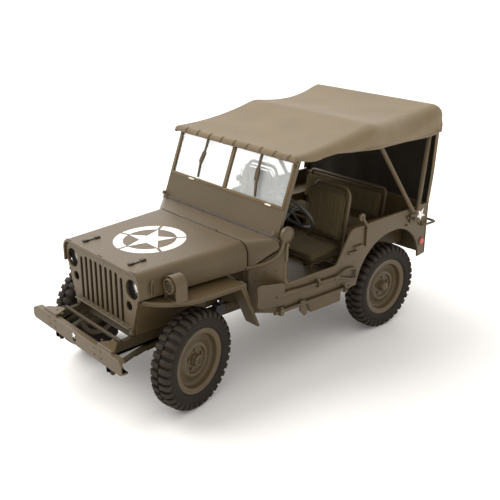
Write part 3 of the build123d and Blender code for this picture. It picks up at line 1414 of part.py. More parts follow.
lever_radius = 0.45
lever_foot_z = floor_z + sheet + touch_gap
shift_foot_x = transfer_x - 2.0
shift_foot_y = -1.0
shift_knob_x = transfer_x - 8.0
shift_knob_y = 0.5
shift_knob_z = 49.0
low_knob_z = 43.0
low_foot_x = transfer_x - 3.0
low_knob_x = transfer_x - 7.0
low_inner_y = -5.0
low_outer_y = -7.5
LEVERS = (
    # foot along the car and across it, knob along the car, across it and its height
    (shift_foot_x, shift_foot_y, shift_knob_x, shift_knob_y, shift_knob_z),
    (low_foot_x, low_inner_y, low_knob_x, low_inner_y, low_knob_z),
    (low_foot_x, low_outer_y, low_knob_x, low_outer_y, low_knob_z),
)
knob_radius = 0.9
with BuildPart() as gear_levers:
    for foot_x, foot_y, knob_x, knob_y, knob_z in LEVERS:
        rod((foot_x, foot_y, lever_foot_z), (knob_x, knob_y, knob_z), lever_radius)
        with Locations((knob_x, knob_y, knob_z)):
            Sphere(knob_radius)
save(gear_levers, "gear_levers")

bracket_half = 2.6
bracket_low_z = 50.5
bracket_thickness = 0.9
nut_radius_across = 1.5
nut_stud_radius = 0.8
nut_stud_z = bracket_low_z + nut_radius_across
with BuildPart() as bow_brackets:
    for side_name, side in SIDES:
        near_y = side_y + touch_gap
        far_y = near_y + bracket_thickness
        low_y, high_y = band(near_y, far_y, side)
        block((bow_pivot_x - bracket_half, low_y, bracket_low_z),
              (bow_pivot_x + bracket_half, high_y, bow_pivot_z - bow_radius - seat_gap))
        rod((bow_pivot_x, side * near_y, nut_stud_z), (bow_pivot_x, side * half_width, nut_stud_z),
            nut_stud_radius)
        block((post_x - post_lean - post_radius, low_y, post_low_z),
              (post_x - post_lean + post_radius, high_y, side_top_front_z))
        rod((post_x - post_lean, side * (near_y + post_radius), side_top_front_z - post_radius),
            (post_x, side * (near_y + post_radius), post_high_z), post_radius)
        rod((post_x, side * near_y, post_high_z), (post_x, side * far_y, post_high_z), post_knob_radius)
save(bow_brackets, "bow_brackets")
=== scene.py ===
"""Looks of the army 4x4 car, a 1:18 display model with its soft top up.

It is laid out as an add-on and run as a script. Sizes in the tables are in millimetres.
"""

import json
from math import atan, cos, pi, radians, sin

import bpy
from mathutils import Matrix, Vector, noise

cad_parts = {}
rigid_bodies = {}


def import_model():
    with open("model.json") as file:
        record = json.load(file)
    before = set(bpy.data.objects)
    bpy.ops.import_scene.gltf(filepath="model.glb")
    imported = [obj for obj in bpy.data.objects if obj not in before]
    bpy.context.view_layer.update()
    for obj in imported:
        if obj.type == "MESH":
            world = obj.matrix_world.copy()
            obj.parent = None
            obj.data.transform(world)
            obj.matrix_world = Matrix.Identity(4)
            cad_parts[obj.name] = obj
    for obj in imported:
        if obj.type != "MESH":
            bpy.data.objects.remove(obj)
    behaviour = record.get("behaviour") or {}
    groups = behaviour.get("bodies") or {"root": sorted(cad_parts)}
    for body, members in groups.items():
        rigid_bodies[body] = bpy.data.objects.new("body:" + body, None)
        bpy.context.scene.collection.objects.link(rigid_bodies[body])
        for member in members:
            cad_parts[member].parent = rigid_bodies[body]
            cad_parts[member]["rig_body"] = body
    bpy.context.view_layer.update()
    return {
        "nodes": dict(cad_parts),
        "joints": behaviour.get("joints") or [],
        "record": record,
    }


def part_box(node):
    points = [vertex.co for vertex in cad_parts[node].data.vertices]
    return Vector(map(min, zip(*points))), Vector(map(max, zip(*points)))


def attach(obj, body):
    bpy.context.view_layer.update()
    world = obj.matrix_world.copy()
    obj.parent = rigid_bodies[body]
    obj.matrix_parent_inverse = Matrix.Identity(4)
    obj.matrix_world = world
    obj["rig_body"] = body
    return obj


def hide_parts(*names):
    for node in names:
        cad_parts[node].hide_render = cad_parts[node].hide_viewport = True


bl_info = {
    "name": "Army 4x4 car model",
    "version": (1, 0, 0),
    "blender": (4, 5, 0),
    "location": "3D View > Sidebar > Model",
    "description": "Builds the looks of a 1:18 army 4x4 car around its packed CAD frame",
    "category": "Object",
}

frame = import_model()
MM = 0.001
CHASSIS = "chassis"
# Left and right of the car, as the sign of Y
SIDES = (1, -1)
ORIGIN, AHEAD, BEHIND, LEFTWARD, UP = (0, 0, 0), (1, 0, 0), (-1, 0, 0), (0, 1, 0), (0, 0, 1)
WHEEL_BODIES = ("front_left", "front_right", "rear_left", "rear_right")
JOINTS = {joint["name"]: joint for joint in frame["joints"]}
finishes = {}


def mm(x, y, z):
    """Place in the row frame from millimetres."""
    return Vector((x, y, z)) * MM


def node_box(name):
    """Lowest and highest corner of a CAD node, in millimetres."""
    low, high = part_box(name)
    return low / MM, high / MM


def sided(spot, side):
    """A place given for the left side, on the left for side 1 and on the right for side -1."""
    x, y, z = spot
    return x, side * y, z


def both_sides(spots, direction):
    """Pairs of a place and a direction, first for the left side and then for the right."""
    return [(sided(spot, side), sided(direction, side)) for side in SIDES for spot in spots]


def length_setting(name, description, size):
    """Setting for a length that is given here in millimetres."""
    return bpy.props.FloatProperty(name=name, description=description, default=size * MM, unit="LENGTH")


def strength_setting(name, description, strength):
    """Setting for how strong a light is."""
    return bpy.props.FloatProperty(name=name, description=description, default=strength, min=0)


def colour_setting(name, description, colour):
    """Setting for a colour."""
    return bpy.props.FloatVectorProperty(name=name, description=description, default=colour,
                                         subtype="COLOR", size=3, min=0, max=1)


# Selecting, editing and finishing pieces

def select_nothing():
    """Leave edit mode and select nothing."""
    if bpy.context.mode != "OBJECT":
        bpy.ops.object.mode_set(mode="OBJECT")
    bpy.ops.object.select_all(action="DESELECT")


def pick(*pieces):
    """Select these pieces only, the first one active."""
    select_nothing()
    for piece in pieces:
        piece.select_set(True)
    bpy.context.view_layer.objects.active = pieces[0]


def edit(piece):
    """Go into edit mode on one piece with all of it selected."""
    pick(piece)
    bpy.ops.object.mode_set(mode="EDIT")
    bpy.ops.mesh.select_all(action="SELECT")


def settle(piece):
    """Put the piece's place, turn and size in its mesh."""
    pick(piece)
    bpy.ops.object.transform_apply(location=True, rotation=True, scale=True)
    return piece


def close_up(piece, distance=0.004):
    """Merge doubled vertices and point the faces outwards."""
    edit(piece)
    bpy.ops.mesh.remove_doubles(threshold=distance * MM)
    bpy.ops.mesh.normals_make_consistent(inside=False)
    bpy.ops.object.mode_set(mode="OBJECT")
    return piece


def apply_modifiers(piece):
    """Apply every modifier of the piece in order."""
    pick(piece)
    for modifier in list(piece.modifiers):
        bpy.ops.object.modifier_apply(modifier=modifier.name)
    return piece


def smooth(piece, angle=50):
    """Smooth shading up to an angle between faces."""
    pick(piece)
    bpy.ops.object.shade_smooth_by_angle(angle=radians(angle))
    return piece


def round_edges(piece, width, segments=2, angle=32, even=True):
    """Bevel the sharp edges by width millimetres and keep the flat faces flat."""
    bevel = piece.modifiers.new("Rounded edges", "BEVEL")
    bevel.width = width * MM
    bevel.segments = segments
    bevel.limit_method = "ANGLE"
    bevel.angle_limit = radians(angle)
    bevel.use_clamp_overlap = False
    apply_modifiers(piece)
    smooth(piece)
    if even:
        piece.modifiers.new("Even shading", "WEIGHTED_NORMAL").keep_sharp = True
        apply_modifiers(piece)
    return piece


def thicken(piece, wall, offset=-1):
    """Give a sheet its wall thickness in millimetres."""
    solid = piece.modifiers.new("Wall", "SOLIDIFY")
    solid.thickness = wall * MM
    solid.offset = offset
    return apply_modifiers(piece)


def join(pieces, name):
    """Join several pieces into one."""
    pick(*pieces)
    if len(pieces) > 1:
        bpy.ops.object.join()
    return rename(bpy.context.object, name)


def rename(piece, name):
    """Name a piece and its mesh."""
    piece.name = name
    piece.data.name = name
    return piece


def twin(piece, matrix, name):
    """Copy of a piece with its own mesh, moved by a matrix in the row frame."""
    copy = piece.copy()
    copy.data = piece.data.copy()
    bpy.context.collection.objects.link(copy)
    copy.data.transform(matrix)
    if matrix.determinant() < 0:
        copy.data.flip_normals()
    return rename(copy, name)


def spread(piece, matrices, name):
    """Copies of a piece at each matrix, joined into one piece; the first model goes."""
    copies = [twin(piece, matrix, name) for matrix in matrices]
    bpy.data.objects.remove(piece)
    return join(copies, name)


# Starts of pieces

def box_piece(name, low, high, edge=0.0, segments=2):
    """Block between two corners, with rounded edges."""
    low, high = Vector(low), Vector(high)
    select_nothing()
    bpy.ops.mesh.primitive_cube_add(size=1, location=(low + high) / 2 * MM)
    piece = rename(bpy.context.object, name)
    piece.scale = (high - low) * MM
    settle(piece)
    if edge:
        round_edges(piece, edge, segments)
    return piece


def outline_piece(name, points, depth):
    """Plate from outline points, a ring primitive put on them and extruded by depth, all in millimetres."""
    select_nothing()
    bpy.ops.mesh.primitive_circle_add(vertices=len(points), radius=MM, fill_type="NGON")
    piece = rename(bpy.context.object, name)
    for vertex, point in zip(piece.data.vertices, points):
        vertex.co = Vector(point) * MM
    edit(piece)
    bpy.ops.mesh.extrude_region_move(TRANSFORM_OT_translate={"value": Vector(depth) * MM})
    bpy.ops.mesh.select_all(action="SELECT")
    bpy.ops.mesh.normals_make_consistent(inside=False)
    bpy.ops.object.mode_set(mode="OBJECT")
    return piece


def turned_piece(name, outline, origin, axis, steps=48, closed=True):
    """Round piece spun about an axis; the outline holds places along and out from the axis."""
    origin, axis = Vector(origin) * MM, Vector(axis).normalized()
    side = axis.orthogonal().normalized()
    select_nothing()
    bpy.ops.mesh.primitive_circle_add(vertices=len(outline), radius=MM)
    piece = rename(bpy.context.object, name)
    for vertex, (along, out) in zip(piece.data.vertices, outline):
        vertex.co = origin + axis * along * MM + side * out * MM
    edit(piece)
    if not closed:
        bpy.ops.mesh.select_all(action="DESELECT")
        bpy.ops.object.mode_set(mode="OBJECT")
        last = len(outline) - 1
        for edge in piece.data.edges:
            edge.select = set(edge.vertices) == {0, last}
        bpy.ops.object.mode_set(mode="EDIT")
        bpy.ops.mesh.select_mode(type="EDGE")
        bpy.ops.mesh.delete(type="EDGE")
        bpy.ops.mesh.select_mode(type="VERT")
        bpy.ops.mesh.select_all(action="SELECT")
    bpy.ops.mesh.spin(steps=steps, angle=2 * pi, center=origin, axis=axis)
    bpy.ops.object.mode_set(mode="OBJECT")
    return smooth(close_up(piece), 40)


def tube_piece(name, points, radius, smoothness=6, round_path=True, cyclic=False, sides=4):
    """Round bar along points, on a smooth curve that a mesh is made of."""
    curve = bpy.data.curves.new(name, "CURVE")
    curve.dimensions = "3D"
    spline = curve.splines.new("NURBS" if round_path else "POLY")
    spline.points.add(len(points) - 1)
    for point, spot in zip(spline.points, points):
        point.co = (*(Vector(spot) * MM), 1)
    spline.use_cyclic_u = cyclic
    if round_path:
        spline.use_endpoint_u = not cyclic
        spline.order_u = 3
        spline.resolution_u = smoothness
    curve.bevel_depth = radius * MM
    curve.bevel_resolution = sides
    curve.use_fill_caps = True
    piece = bpy.data.objects.new(name, curve)
    bpy.context.collection.objects.link(piece)
    pick(piece)
    bpy.ops.object.convert(target="MESH")
    return smooth(rename(bpy.context.object, name), 60)


def grid_piece(name, along, across, point_at):
    """Sheet whose points are point_at(u, v), u along and v across, each from 0 to 1."""
    select_nothing()
    bpy.ops.mesh.primitive_grid_add(x_subdivisions=along, y_subdivisions=across, size=1)
    piece = rename(bpy.context.object, name)
    for vertex in piece.data.vertices:
        u, v = vertex.co.x + 0.5, vertex.co.y + 0.5
        vertex.co = Vector(point_at(u, v)) * MM
    return piece


def swept_piece(name, path, outline, cyclic=False):
    """Bar with one outline carried along a path of (place, across, up), all in millimetres."""
    turns = len(path) if cyclic else len(path) - 1
    sides = len(outline)

    def carried(u, v):
        spot, across, up = path[round(u * turns) % len(path)]
        over, out = outline[round(v * sides) % sides]
        return Vector(spot) + Vector(across) * over + Vector(up) * out

    piece = close_up(grid_piece(name, turns, sides, carried), 0.001)
    edit(piece)
    bpy.ops.mesh.fill_holes(sides=0)
    bpy.ops.mesh.normals_make_consistent(inside=False)
    bpy.ops.object.mode_set(mode="OBJECT")
    return smooth(piece, 40)


def facing(spot, out):
    """Matrix that puts a piece modelled on +Z at a place, looking out."""
    return Matrix.Translation(mm(*spot)) @ Vector(out).to_track_quat("Z", "Y").to_matrix().to_4x4()


def rivets(name, spots, radius, height=0.0):
    """Low round heads at (place, outward) spots."""
    height = height or radius * 0.55
    outline = [(-0.15, 0.001), (-0.15, radius), (height * 0.5, radius * 0.9), (height * 0.9, radius * 0.5),
               (height, 0.001)]
    head = turned_piece("head", outline, ORIGIN, UP, 12, closed=False)
    return spread(head, [facing(*spot) for spot in spots], name)


def hex_bolts(name, spots, radius, height):
    """Six-sided heads at (place, outward) spots."""
    select_nothing()
    bpy.ops.mesh.primitive_cylinder_add(vertices=6, radius=radius * MM, depth=(height + 0.3) * MM,
                                        location=mm(0, 0, height / 2 - 0.15))
    head = round_edges(settle(bpy.context.object), radius * 0.14, 1)
    return spread(head, [facing(*spot) for spot in spots], name)


def curve_through(points, x):
    """Smooth value at x through (place, value) points, whose places fall."""
    if x >= points[0][0]:
        return points[0][1]
    for index in range(len(points) - 1):
        (start, first), (end, last) = points[index:index + 2]
        if x >= end:
            share = (start - x) / (start - end)
            before = points[max(index - 1, 0)][1]
            after = points[min(index + 2, len(points) - 1)][1]
            bend = (2 * before - 5 * first + 4 * last - after) * share ** 2
            turn = (3 * first - before - 3 * last + after) * share ** 3
            return (2 * first + (last - before) * share + bend + turn) / 2
    return points[-1][1]


def softened(node, width, segments=2, angle=32, finish=None):
    """Piece with the shape of a CAD node whose edges are rounded, standing for the node."""
    source = frame["nodes"][node]
    piece = bpy.data.objects.new(node + "_formed", source.data.copy())
    bpy.context.collection.objects.link(piece)
    edit(piece)
    bpy.ops.mesh.customdata_custom_splitnormals_clear()
    bpy.ops.mesh.remove_doubles(threshold=0.002 * MM)
    bpy.ops.mesh.dissolve_limited(angle_limit=radians(0.8))
    bpy.ops.mesh.normals_make_consistent(inside=False)
    bpy.ops.object.mode_set(mode="OBJECT")
    round_edges(piece, width, segments, angle)
    place(piece, source["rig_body"], SLOT_OF[node], node, finish=finish)
    return piece


def place(piece, body, slot, *nodes, finish=None):
    """Let a finished piece ride on its body, with its finish and the CAD nodes that it stands for."""
    rename(piece, piece.name)
    piece.data.materials.clear()
    piece.data.materials.append(finishes[finish or slot])
    for polygon in piece.data.polygons:
        polygon.material_index = 0
    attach(piece, body)
    if nodes:
        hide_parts(*nodes)
    return piece


def fit(pieces, name, slot="olive_paint", *nodes, finish=None, body=CHASSIS):
    """Join finished pieces into one, name it and let it ride on its body."""
    return place(join(pieces, name), body, slot, *nodes, finish=finish)


SLOT_OF = {part["node"]: part["material_slot"] for part in frame["record"]["subparts"]}


# Finishes

class Finish:
    """A node material whose patterns read Object coordinates in millimetres."""

    def __init__(self, name, roughness, metallic=0.0):
        self.material = bpy.data.materials.new(name)
        self.material.use_nodes = True
        self.nodes = self.material.node_tree.nodes
        self.links = self.material.node_tree.links
        self.shader = self.nodes["Principled BSDF"]
        self.set("Roughness", roughness)
        self.set("Metallic", metallic)
        where = self.nodes.new("ShaderNodeTexCoord")
        scale = self.nodes.new("ShaderNodeMapping")
        scale.inputs["Scale"].default_value = (1 / MM, 1 / MM, 1 / MM)
        self.links.new(where.outputs["Object"], scale.inputs["Vector"])
        self.place = scale.outputs["Vector"]
        self.height = None
        finishes[name] = self.material

    def set(self, socket, value):
        """Set a value that is the same all over."""
        self.shader.inputs[socket].default_value = value

    def noise(self, scale, detail=2.0, stretch=None):
        """Cloudy pattern with scale features per millimetre."""
        pattern = self.nodes.new("ShaderNodeTexNoise")
        pattern.inputs["Scale"].default_value = scale
        pattern.inputs["Detail"].default_value = detail
        source = self.place
        if stretch:
            mapping = self.nodes.new("ShaderNodeMapping")
            mapping.inputs["Scale"].default_value = stretch
            self.links.new(self.place, mapping.inputs["Vector"])
            source = mapping.outputs["Vector"]
        self.links.new(source, pattern.inputs["Vector"])
        return pattern.outputs["Fac"]

    def threads(self, scale, direction):
        """Fine lines across one direction, as the threads of a weave."""
        pattern = self.nodes.new("ShaderNodeTexWave")
        pattern.wave_type = "BANDS"
        pattern.bands_direction = direction
        pattern.inputs["Scale"].default_value = scale
        pattern.inputs["Distortion"].default_value = 0.6
        self.links.new(self.place, pattern.inputs["Vector"])
        return pattern.outputs["Fac"]

    def ramp(self, source, stops):
        """Colours along a pattern; the stops hold a place and a colour."""
        ramp = self.nodes.new("ShaderNodeValToRGB")
        elements = ramp.color_ramp.elements
        while len(elements) < len(stops):
            elements.new(0.5)
        for element, (at, colour) in zip(elements, stops):
            element.position = at
            element.color = (*colour, 1)
        self.links.new(source, ramp.inputs["Fac"])
        return ramp.outputs["Color"]

    def span(self, source, low, high, to_low, to_high):
        """A pattern's range from low to high, as a value from to_low to to_high."""
        span = self.nodes.new("ShaderNodeMapRange")
        for socket, value in zip(("From Min", "From Max", "To Min", "To Max"), (low, high, to_low, to_high)):
            span.inputs[socket].default_value = value
        self.links.new(source, span.inputs["Value"])
        return span.outputs["Result"]

    def blend(self, first, second, share, how="MIX"):
        """Two colours mixed by a share that is a number or a pattern."""
        mix = self.nodes.new("ShaderNodeMix")
        mix.data_type = "RGBA"
        mix.blend_type = how
        for socket, value in ((mix.inputs[6], first), (mix.inputs[7], second), (mix.inputs[0], share)):
            if isinstance(value, bpy.types.NodeSocket):
                self.links.new(value, socket)
            elif isinstance(value, tuple):
                socket.default_value = (*value, 1)
            else:
                socket.default_value = value
        return mix.outputs[2]

    def looking(self, direction):
        """How far the surface looks along X, Y or Z, from -1 to 1."""
        geometry = self.nodes.new("ShaderNodeNewGeometry")
        split = self.nodes.new("ShaderNodeSeparateXYZ")
        self.links.new(geometry.outputs["Normal"], split.inputs["Vector"])
        return split.outputs[direction]

    def facing_up(self):
        """How far the surface looks up, from 0 below to 1 on top."""
        return self.span(self.looking("Z"), -0.2, 1.0, 0.0, 1.0)

    def edges(self, low=0.515, high=0.6):
        """Share of paler edge, from the surface's bulge: rubbed wear with a painted highlight."""
        geometry = self.nodes.new("ShaderNodeNewGeometry")
        return self.span(geometry.outputs["Pointiness"], low, high, 0.0, 1.0)

    def corners(self, distance):
        """Open surface as 1 and deep corners as 0, felt over a distance in millimetres; it masks painted
        shade.
        """
        nearby = self.nodes.new("ShaderNodeAmbientOcclusion")
        nearby.samples = 6
        nearby.inputs["Distance"].default_value = distance * MM
        return nearby.outputs["AO"]

    def colour(self, source):
        """Lead a colour to the shader."""
        self.links.new(source, self.shader.inputs["Base Color"])

    def rough(self, source, low, high):
        """Roughness between two values along a pattern."""
        self.links.new(self.span(source, 0.3, 0.7, low, high), self.shader.inputs["Roughness"])

    def bump(self, source, depth, strength=1.0):
        """Fine relief with a depth in millimetres, on top of the relief so far."""
        bump = self.nodes.new("ShaderNodeBump")
        bump.inputs["Strength"].default_value = strength
        bump.inputs["Distance"].default_value = depth * MM
        self.links.new(source, bump.inputs["Height"])
        if self.height:
            self.links.new(self.height, bump.inputs["Normal"])
        self.height = bump.outputs["Normal"]
        self.links.new(self.height, self.shader.inputs["Normal"])


def shaded(colour, factor):
    """A colour made lighter or darker."""
    return tuple(min(1.0, channel * factor) for channel in colour)


def paint_finish(name, colour, roughness, dark=0.72, light=1.22, corner_shade_reach=2.5):
    """Sprayed satin paint: broad cloudiness, dust on top, paler edges of rubbed wear with a painted
    highlight, and painted shade in the corners.
    """
    finish = Finish(name, roughness)
    broad = finish.noise(0.045, 4)
    fine = finish.noise(1.6, 3)
    tone = finish.ramp(broad, ((0.3, shaded(colour, 0.9)), (0.7, shaded(colour, 1.1))))
    tone = finish.blend(tone, shaded(colour, 0.86), finish.span(fine, 0.45, 0.75, 0.0, 0.35))
    dusty = (colour[0] * light, colour[1] * light * 0.97, colour[2] * light * 0.98)
    tone = finish.blend(tone, dusty, finish.span(finish.facing_up(), 0.5, 1.0, 0.0, 0.4))
    # Paler edges: rubbed wear together with a painted highlight
    tone = finish.blend(tone, shaded(colour, 1.45), finish.span(finish.edges(), 0.0, 1.0, 0.0, 0.45))
    # Painted shade: darker in corners and recesses by ambient occlusion, at most 1 - dark of the way to a
    # fifth of the colour
    deep = finish.span(finish.corners(corner_shade_reach), 0.35, 0.95, 1 - dark, 0.0)
    tone = finish.blend(tone, shaded(colour, 0.2), deep)
    finish.colour(tone)
    finish.rough(fine, roughness - 0.05, roughness + 0.07)
    finish.bump(finish.noise(3.2, 2), 0.012, 0.5)
    finish.set("Specular IOR Level", 0.42)
    return finish


def canvas_finish(name, colour, threads_per_mm=2.2, weave=0.03, forward=1.0, sheen=0.25):
    """Matte woven cloth with slight clouding and painted shade in its corners; forward darkens the side that
    looks ahead, as painted shade.
    """
    finish = Finish(name, 0.93)
    broad = finish.noise(0.06, 4)
    tone = finish.ramp(broad, ((0.3, shaded(colour, 0.88)), (0.7, shaded(colour, 1.1))))
    warp = finish.threads(threads_per_mm, "X")
    weft = finish.threads(threads_per_mm, "Y")
    tone = finish.blend(tone, shaded(colour, 0.72), finish.span(warp, 0.0, 1.0, 0.16, 0.0))
    tone = finish.blend(tone, shaded(colour, 0.72), finish.span(weft, 0.0, 1.0, 0.16, 0.0))
    # Painted shade on the side that looks ahead
    if forward != 1:
        ahead = finish.span(finish.looking("X"), 0.1, 0.5, 0.0, 1.0)
        tone = finish.blend(tone, shaded(colour, forward), ahead)
    # Painted shade: darker in corners and folds by ambient occlusion
    deep = finish.span(finish.corners(4.0), 0.3, 0.95, 0.35, 0.0)
    finish.colour(finish.blend(tone, shaded(colour, 0.3), deep))
    finish.bump(warp, weave, 0.6)
    finish.bump(weft, weave, 0.6)
    finish.bump(finish.noise(0.35, 3), 0.12, 0.5)
    finish.set("Sheen Weight", sheen)
    finish.set("Sheen Roughness", 0.6)
    finish.set("Specular IOR Level", 0.15)
    return finish


def rubber_finish(name, colour):
    """Moulded rubber, dusty and slightly uneven; its paler edges are dust with a painted highlight, and its
    corners hold painted shade.
    """
    finish = Finish(name, 0.72)
    fine = finish.noise(0.9, 4)
    tone = finish.ramp(fine, ((0.35, shaded(colour, 0.8)), (0.7, shaded(colour, 1.2))))
    # Paler edges, most on the tread bars: dust together with a painted highlight
    tone = finish.blend(tone, shaded(colour, 3.2), finish.span(finish.edges(0.51, 0.62), 0.0, 1.0, 0.0, 0.6))
    # Painted shade: darker between the bars by ambient occlusion
    deep = finish.span(finish.corners(2.0), 0.3, 0.95, 0.55, 0.0)
    finish.colour(finish.blend(tone, shaded(colour, 0.22), deep))
    finish.rough(fine, 0.62, 0.8)
    finish.bump(finish.noise(4.0, 2), 0.02, 0.4)
    finish.set("Specular IOR Level", 0.22)
    return finish


def metal_finish(name, colour, roughness, metallic=1.0):
    """Bare metal with faint clouding."""
    finish = Finish(name, roughness, metallic)
    fine = finish.noise(0.8, 4)
    finish.colour(finish.ramp(fine, ((0.35, shaded(colour, 0.85)), (0.7, shaded(colour, 1.08)))))
    finish.rough(fine, roughness * 0.8, roughness * 1.3)
    finish.bump(finish.noise(2.5, 2), 0.01, 0.3)
    return finish


def plastic_finish(name, colour, roughness, coat=0.0):
    """Moulded plastic with a faint mottle."""
    finish = Finish(name, roughness)
    fine = finish.noise(1.1, 3)
    finish.colour(finish.ramp(fine, ((0.35, shaded(colour, 0.85)), (0.7, shaded(colour, 1.15)))))
    finish.rough(fine, roughness * 0.85, roughness * 1.15)
    finish.set("Coat Weight", coat)
    return finish


def clear_finish(name, tint, roughness, clearness):
    """Clear pane with a faint haze."""
    finish = Finish(name, roughness)
    finish.colour(finish.ramp(finish.noise(0.2, 2), ((0.3, shaded(tint, 0.97)), (0.7, tint))))
    finish.set("Transmission Weight", clearness)
    finish.set("IOR", 1.3)
    finish.set("Specular IOR Level", 0.5)
    return finish


class FinishColours(bpy.types.PropertyGroup):
    """Colours of the model's finishes."""
    olive: colour_setting("Body paint", "Satin olive of the bodywork", (0.072, 0.0485, 0.0195))
    chassis: colour_setting("Chassis paint", "Darker olive of the frame and axles", (0.043, 0.0305, 0.0145))
    canvas: colour_setting("Soft top", "Tan canvas of the soft top", (0.166, 0.119, 0.058))
    seats: colour_setting("Seats", "Dark olive cloth of the seats", (0.074, 0.054, 0.024))
    tyres: colour_setting("Tyres", "Warm dark grey rubber", (0.0135, 0.0095, 0.0062))


class MODEL_OT_finishes(bpy.types.Operator):
    """Make the finishes and put them on the CAD nodes"""
    bl_idname = "model.finishes"
    bl_label = "Finishes"

    def execute(self, context):
        colours = context.scene.model_colours
        olive = tuple(colours.olive)
        paint_finish("olive_paint", olive, 0.44)
        paint_finish("chassis_paint", tuple(colours.chassis), 0.62).set("Specular IOR Level", 0.22)
        paint_finish("tool_steel", shaded(olive, 0.92), 0.46)
        # Paler olive: rubbed paint together with a painted highlight, for raised frames and rivets
        paint_finish("rubbed_and_highlit_paint", (olive[0] * 1.45, olive[1] * 1.38, olive[2] * 1.2), 0.5)
        paint_finish("worn_edge", shaded(olive, 1.15), 0.46)
        paint_finish("dark_paint", shaded(olive, 0.42), 0.5)
        # Grille paint with strong painted shade deep in its slots
        paint_finish("grille_paint", olive, 0.44, dark=0.08, corner_shade_reach=4.5)
        paint_finish("wiper_paint", shaded(olive, 0.62), 0.55)
        canvas_finish("canvas", tuple(colours.canvas))
        canvas_finish("hem_canvas", shaded(tuple(colours.canvas), 0.82))
        # Rear curtain: darker canvas, and much darker on its inner face that looks ahead, as painted shade
        canvas_finish("curtain_canvas", shaded(tuple(colours.canvas), 0.8), forward=0.12, sheen=0.08)
        canvas_finish("seat_fabric", tuple(colours.seats), 1.6, 0.04, sheen=0.03)
        rubber_finish("tyre", tuple(colours.tyres))
        rubber_finish("grey_rubber", (0.05, 0.041, 0.034))
        # Near black in lamp hollows and slots: painted shade
        plastic_finish("painted_hole_shade", (0.012, 0.01, 0.008), 0.7)
        plastic_finish("black_plastic", (0.02, 0.018, 0.016), 0.5)
        plastic_finish("red_plastic", (0.5, 0.02, 0.015), 0.25, 0.6)
        plastic_finish("white_marking", (0.82, 0.8, 0.77), 0.5)
        metal_finish("engine_metal", (0.14, 0.13, 0.11), 0.5, 0.35)
        # Near-black radiator core: painted shade behind the grille's slots
        metal_finish("radiator_core", (0.012, 0.011, 0.01), 0.6, 0.2)
        metal_finish("lamp_chrome", (0.82, 0.8, 0.77), 0.12)
        metal_finish("bright_clip", (0.75, 0.7, 0.58), 0.3)
        clear_finish("clear", (0.92, 0.95, 0.95), 0.05, 0.74)
        clear_finish("lamp_glass", (0.98, 0.98, 0.96), 0.02, 1.0)
        for name, node in frame["nodes"].items():
            node.data.materials.clear()
            node.data.materials.append(finishes[SLOT_OF[name]])
        return {"FINISHED"}


# Stage

class StageLight(bpy.types.PropertyGroup):
    """Strength of the studio's light."""
    key: strength_setting("Key light", "Strength of the soft light from above the car's right side", 2.3)
    window: strength_setting("Soft box", "Strength of the bright side that the bonnet mirrors", 2.2)
    room: strength_setting("Room light", "Strength of the white surroundings", 1.08)
    spread: bpy.props.FloatProperty(
        name="Softness", description="How wide the key light looks from the model", default=radians(48),
        min=0, max=pi, subtype="ANGLE")


# Camera solved from the photograph: its place in millimetres, and its axes
CAMERA_PLACE = (224.95, 253.32, 169.88)
CAMERA_RIGHT = (-0.75075, 0.66055, 0.00613)
CAMERA_UP = (-0.23171, -0.27202, 0.93398)
CAMERA_BACK = (0.61861, 0.69977, 0.35728)
CAMERA_LENS = 56.9
# Floor: size in metres, and its paper's two tones
FLOOR_SIZE = 6.0
FLOOR_TONES = ((0.3, (0.86, 0.855, 0.85)), (0.7, (0.88, 0.875, 0.87)))
# Where the light comes from, and its colour
KEY_FROM, KEY_COLOUR = (0.42, -0.86, 1.0), (1, 0.985, 0.96)
ROOM_COLOUR = (1, 0.972, 0.94, 1)
# Middle of the room's bright side, and the cosines where it starts and is full
WINDOW_FROM, WINDOW_EDGE = (-0.5, -0.78, 0.38), (0.62, 0.95)


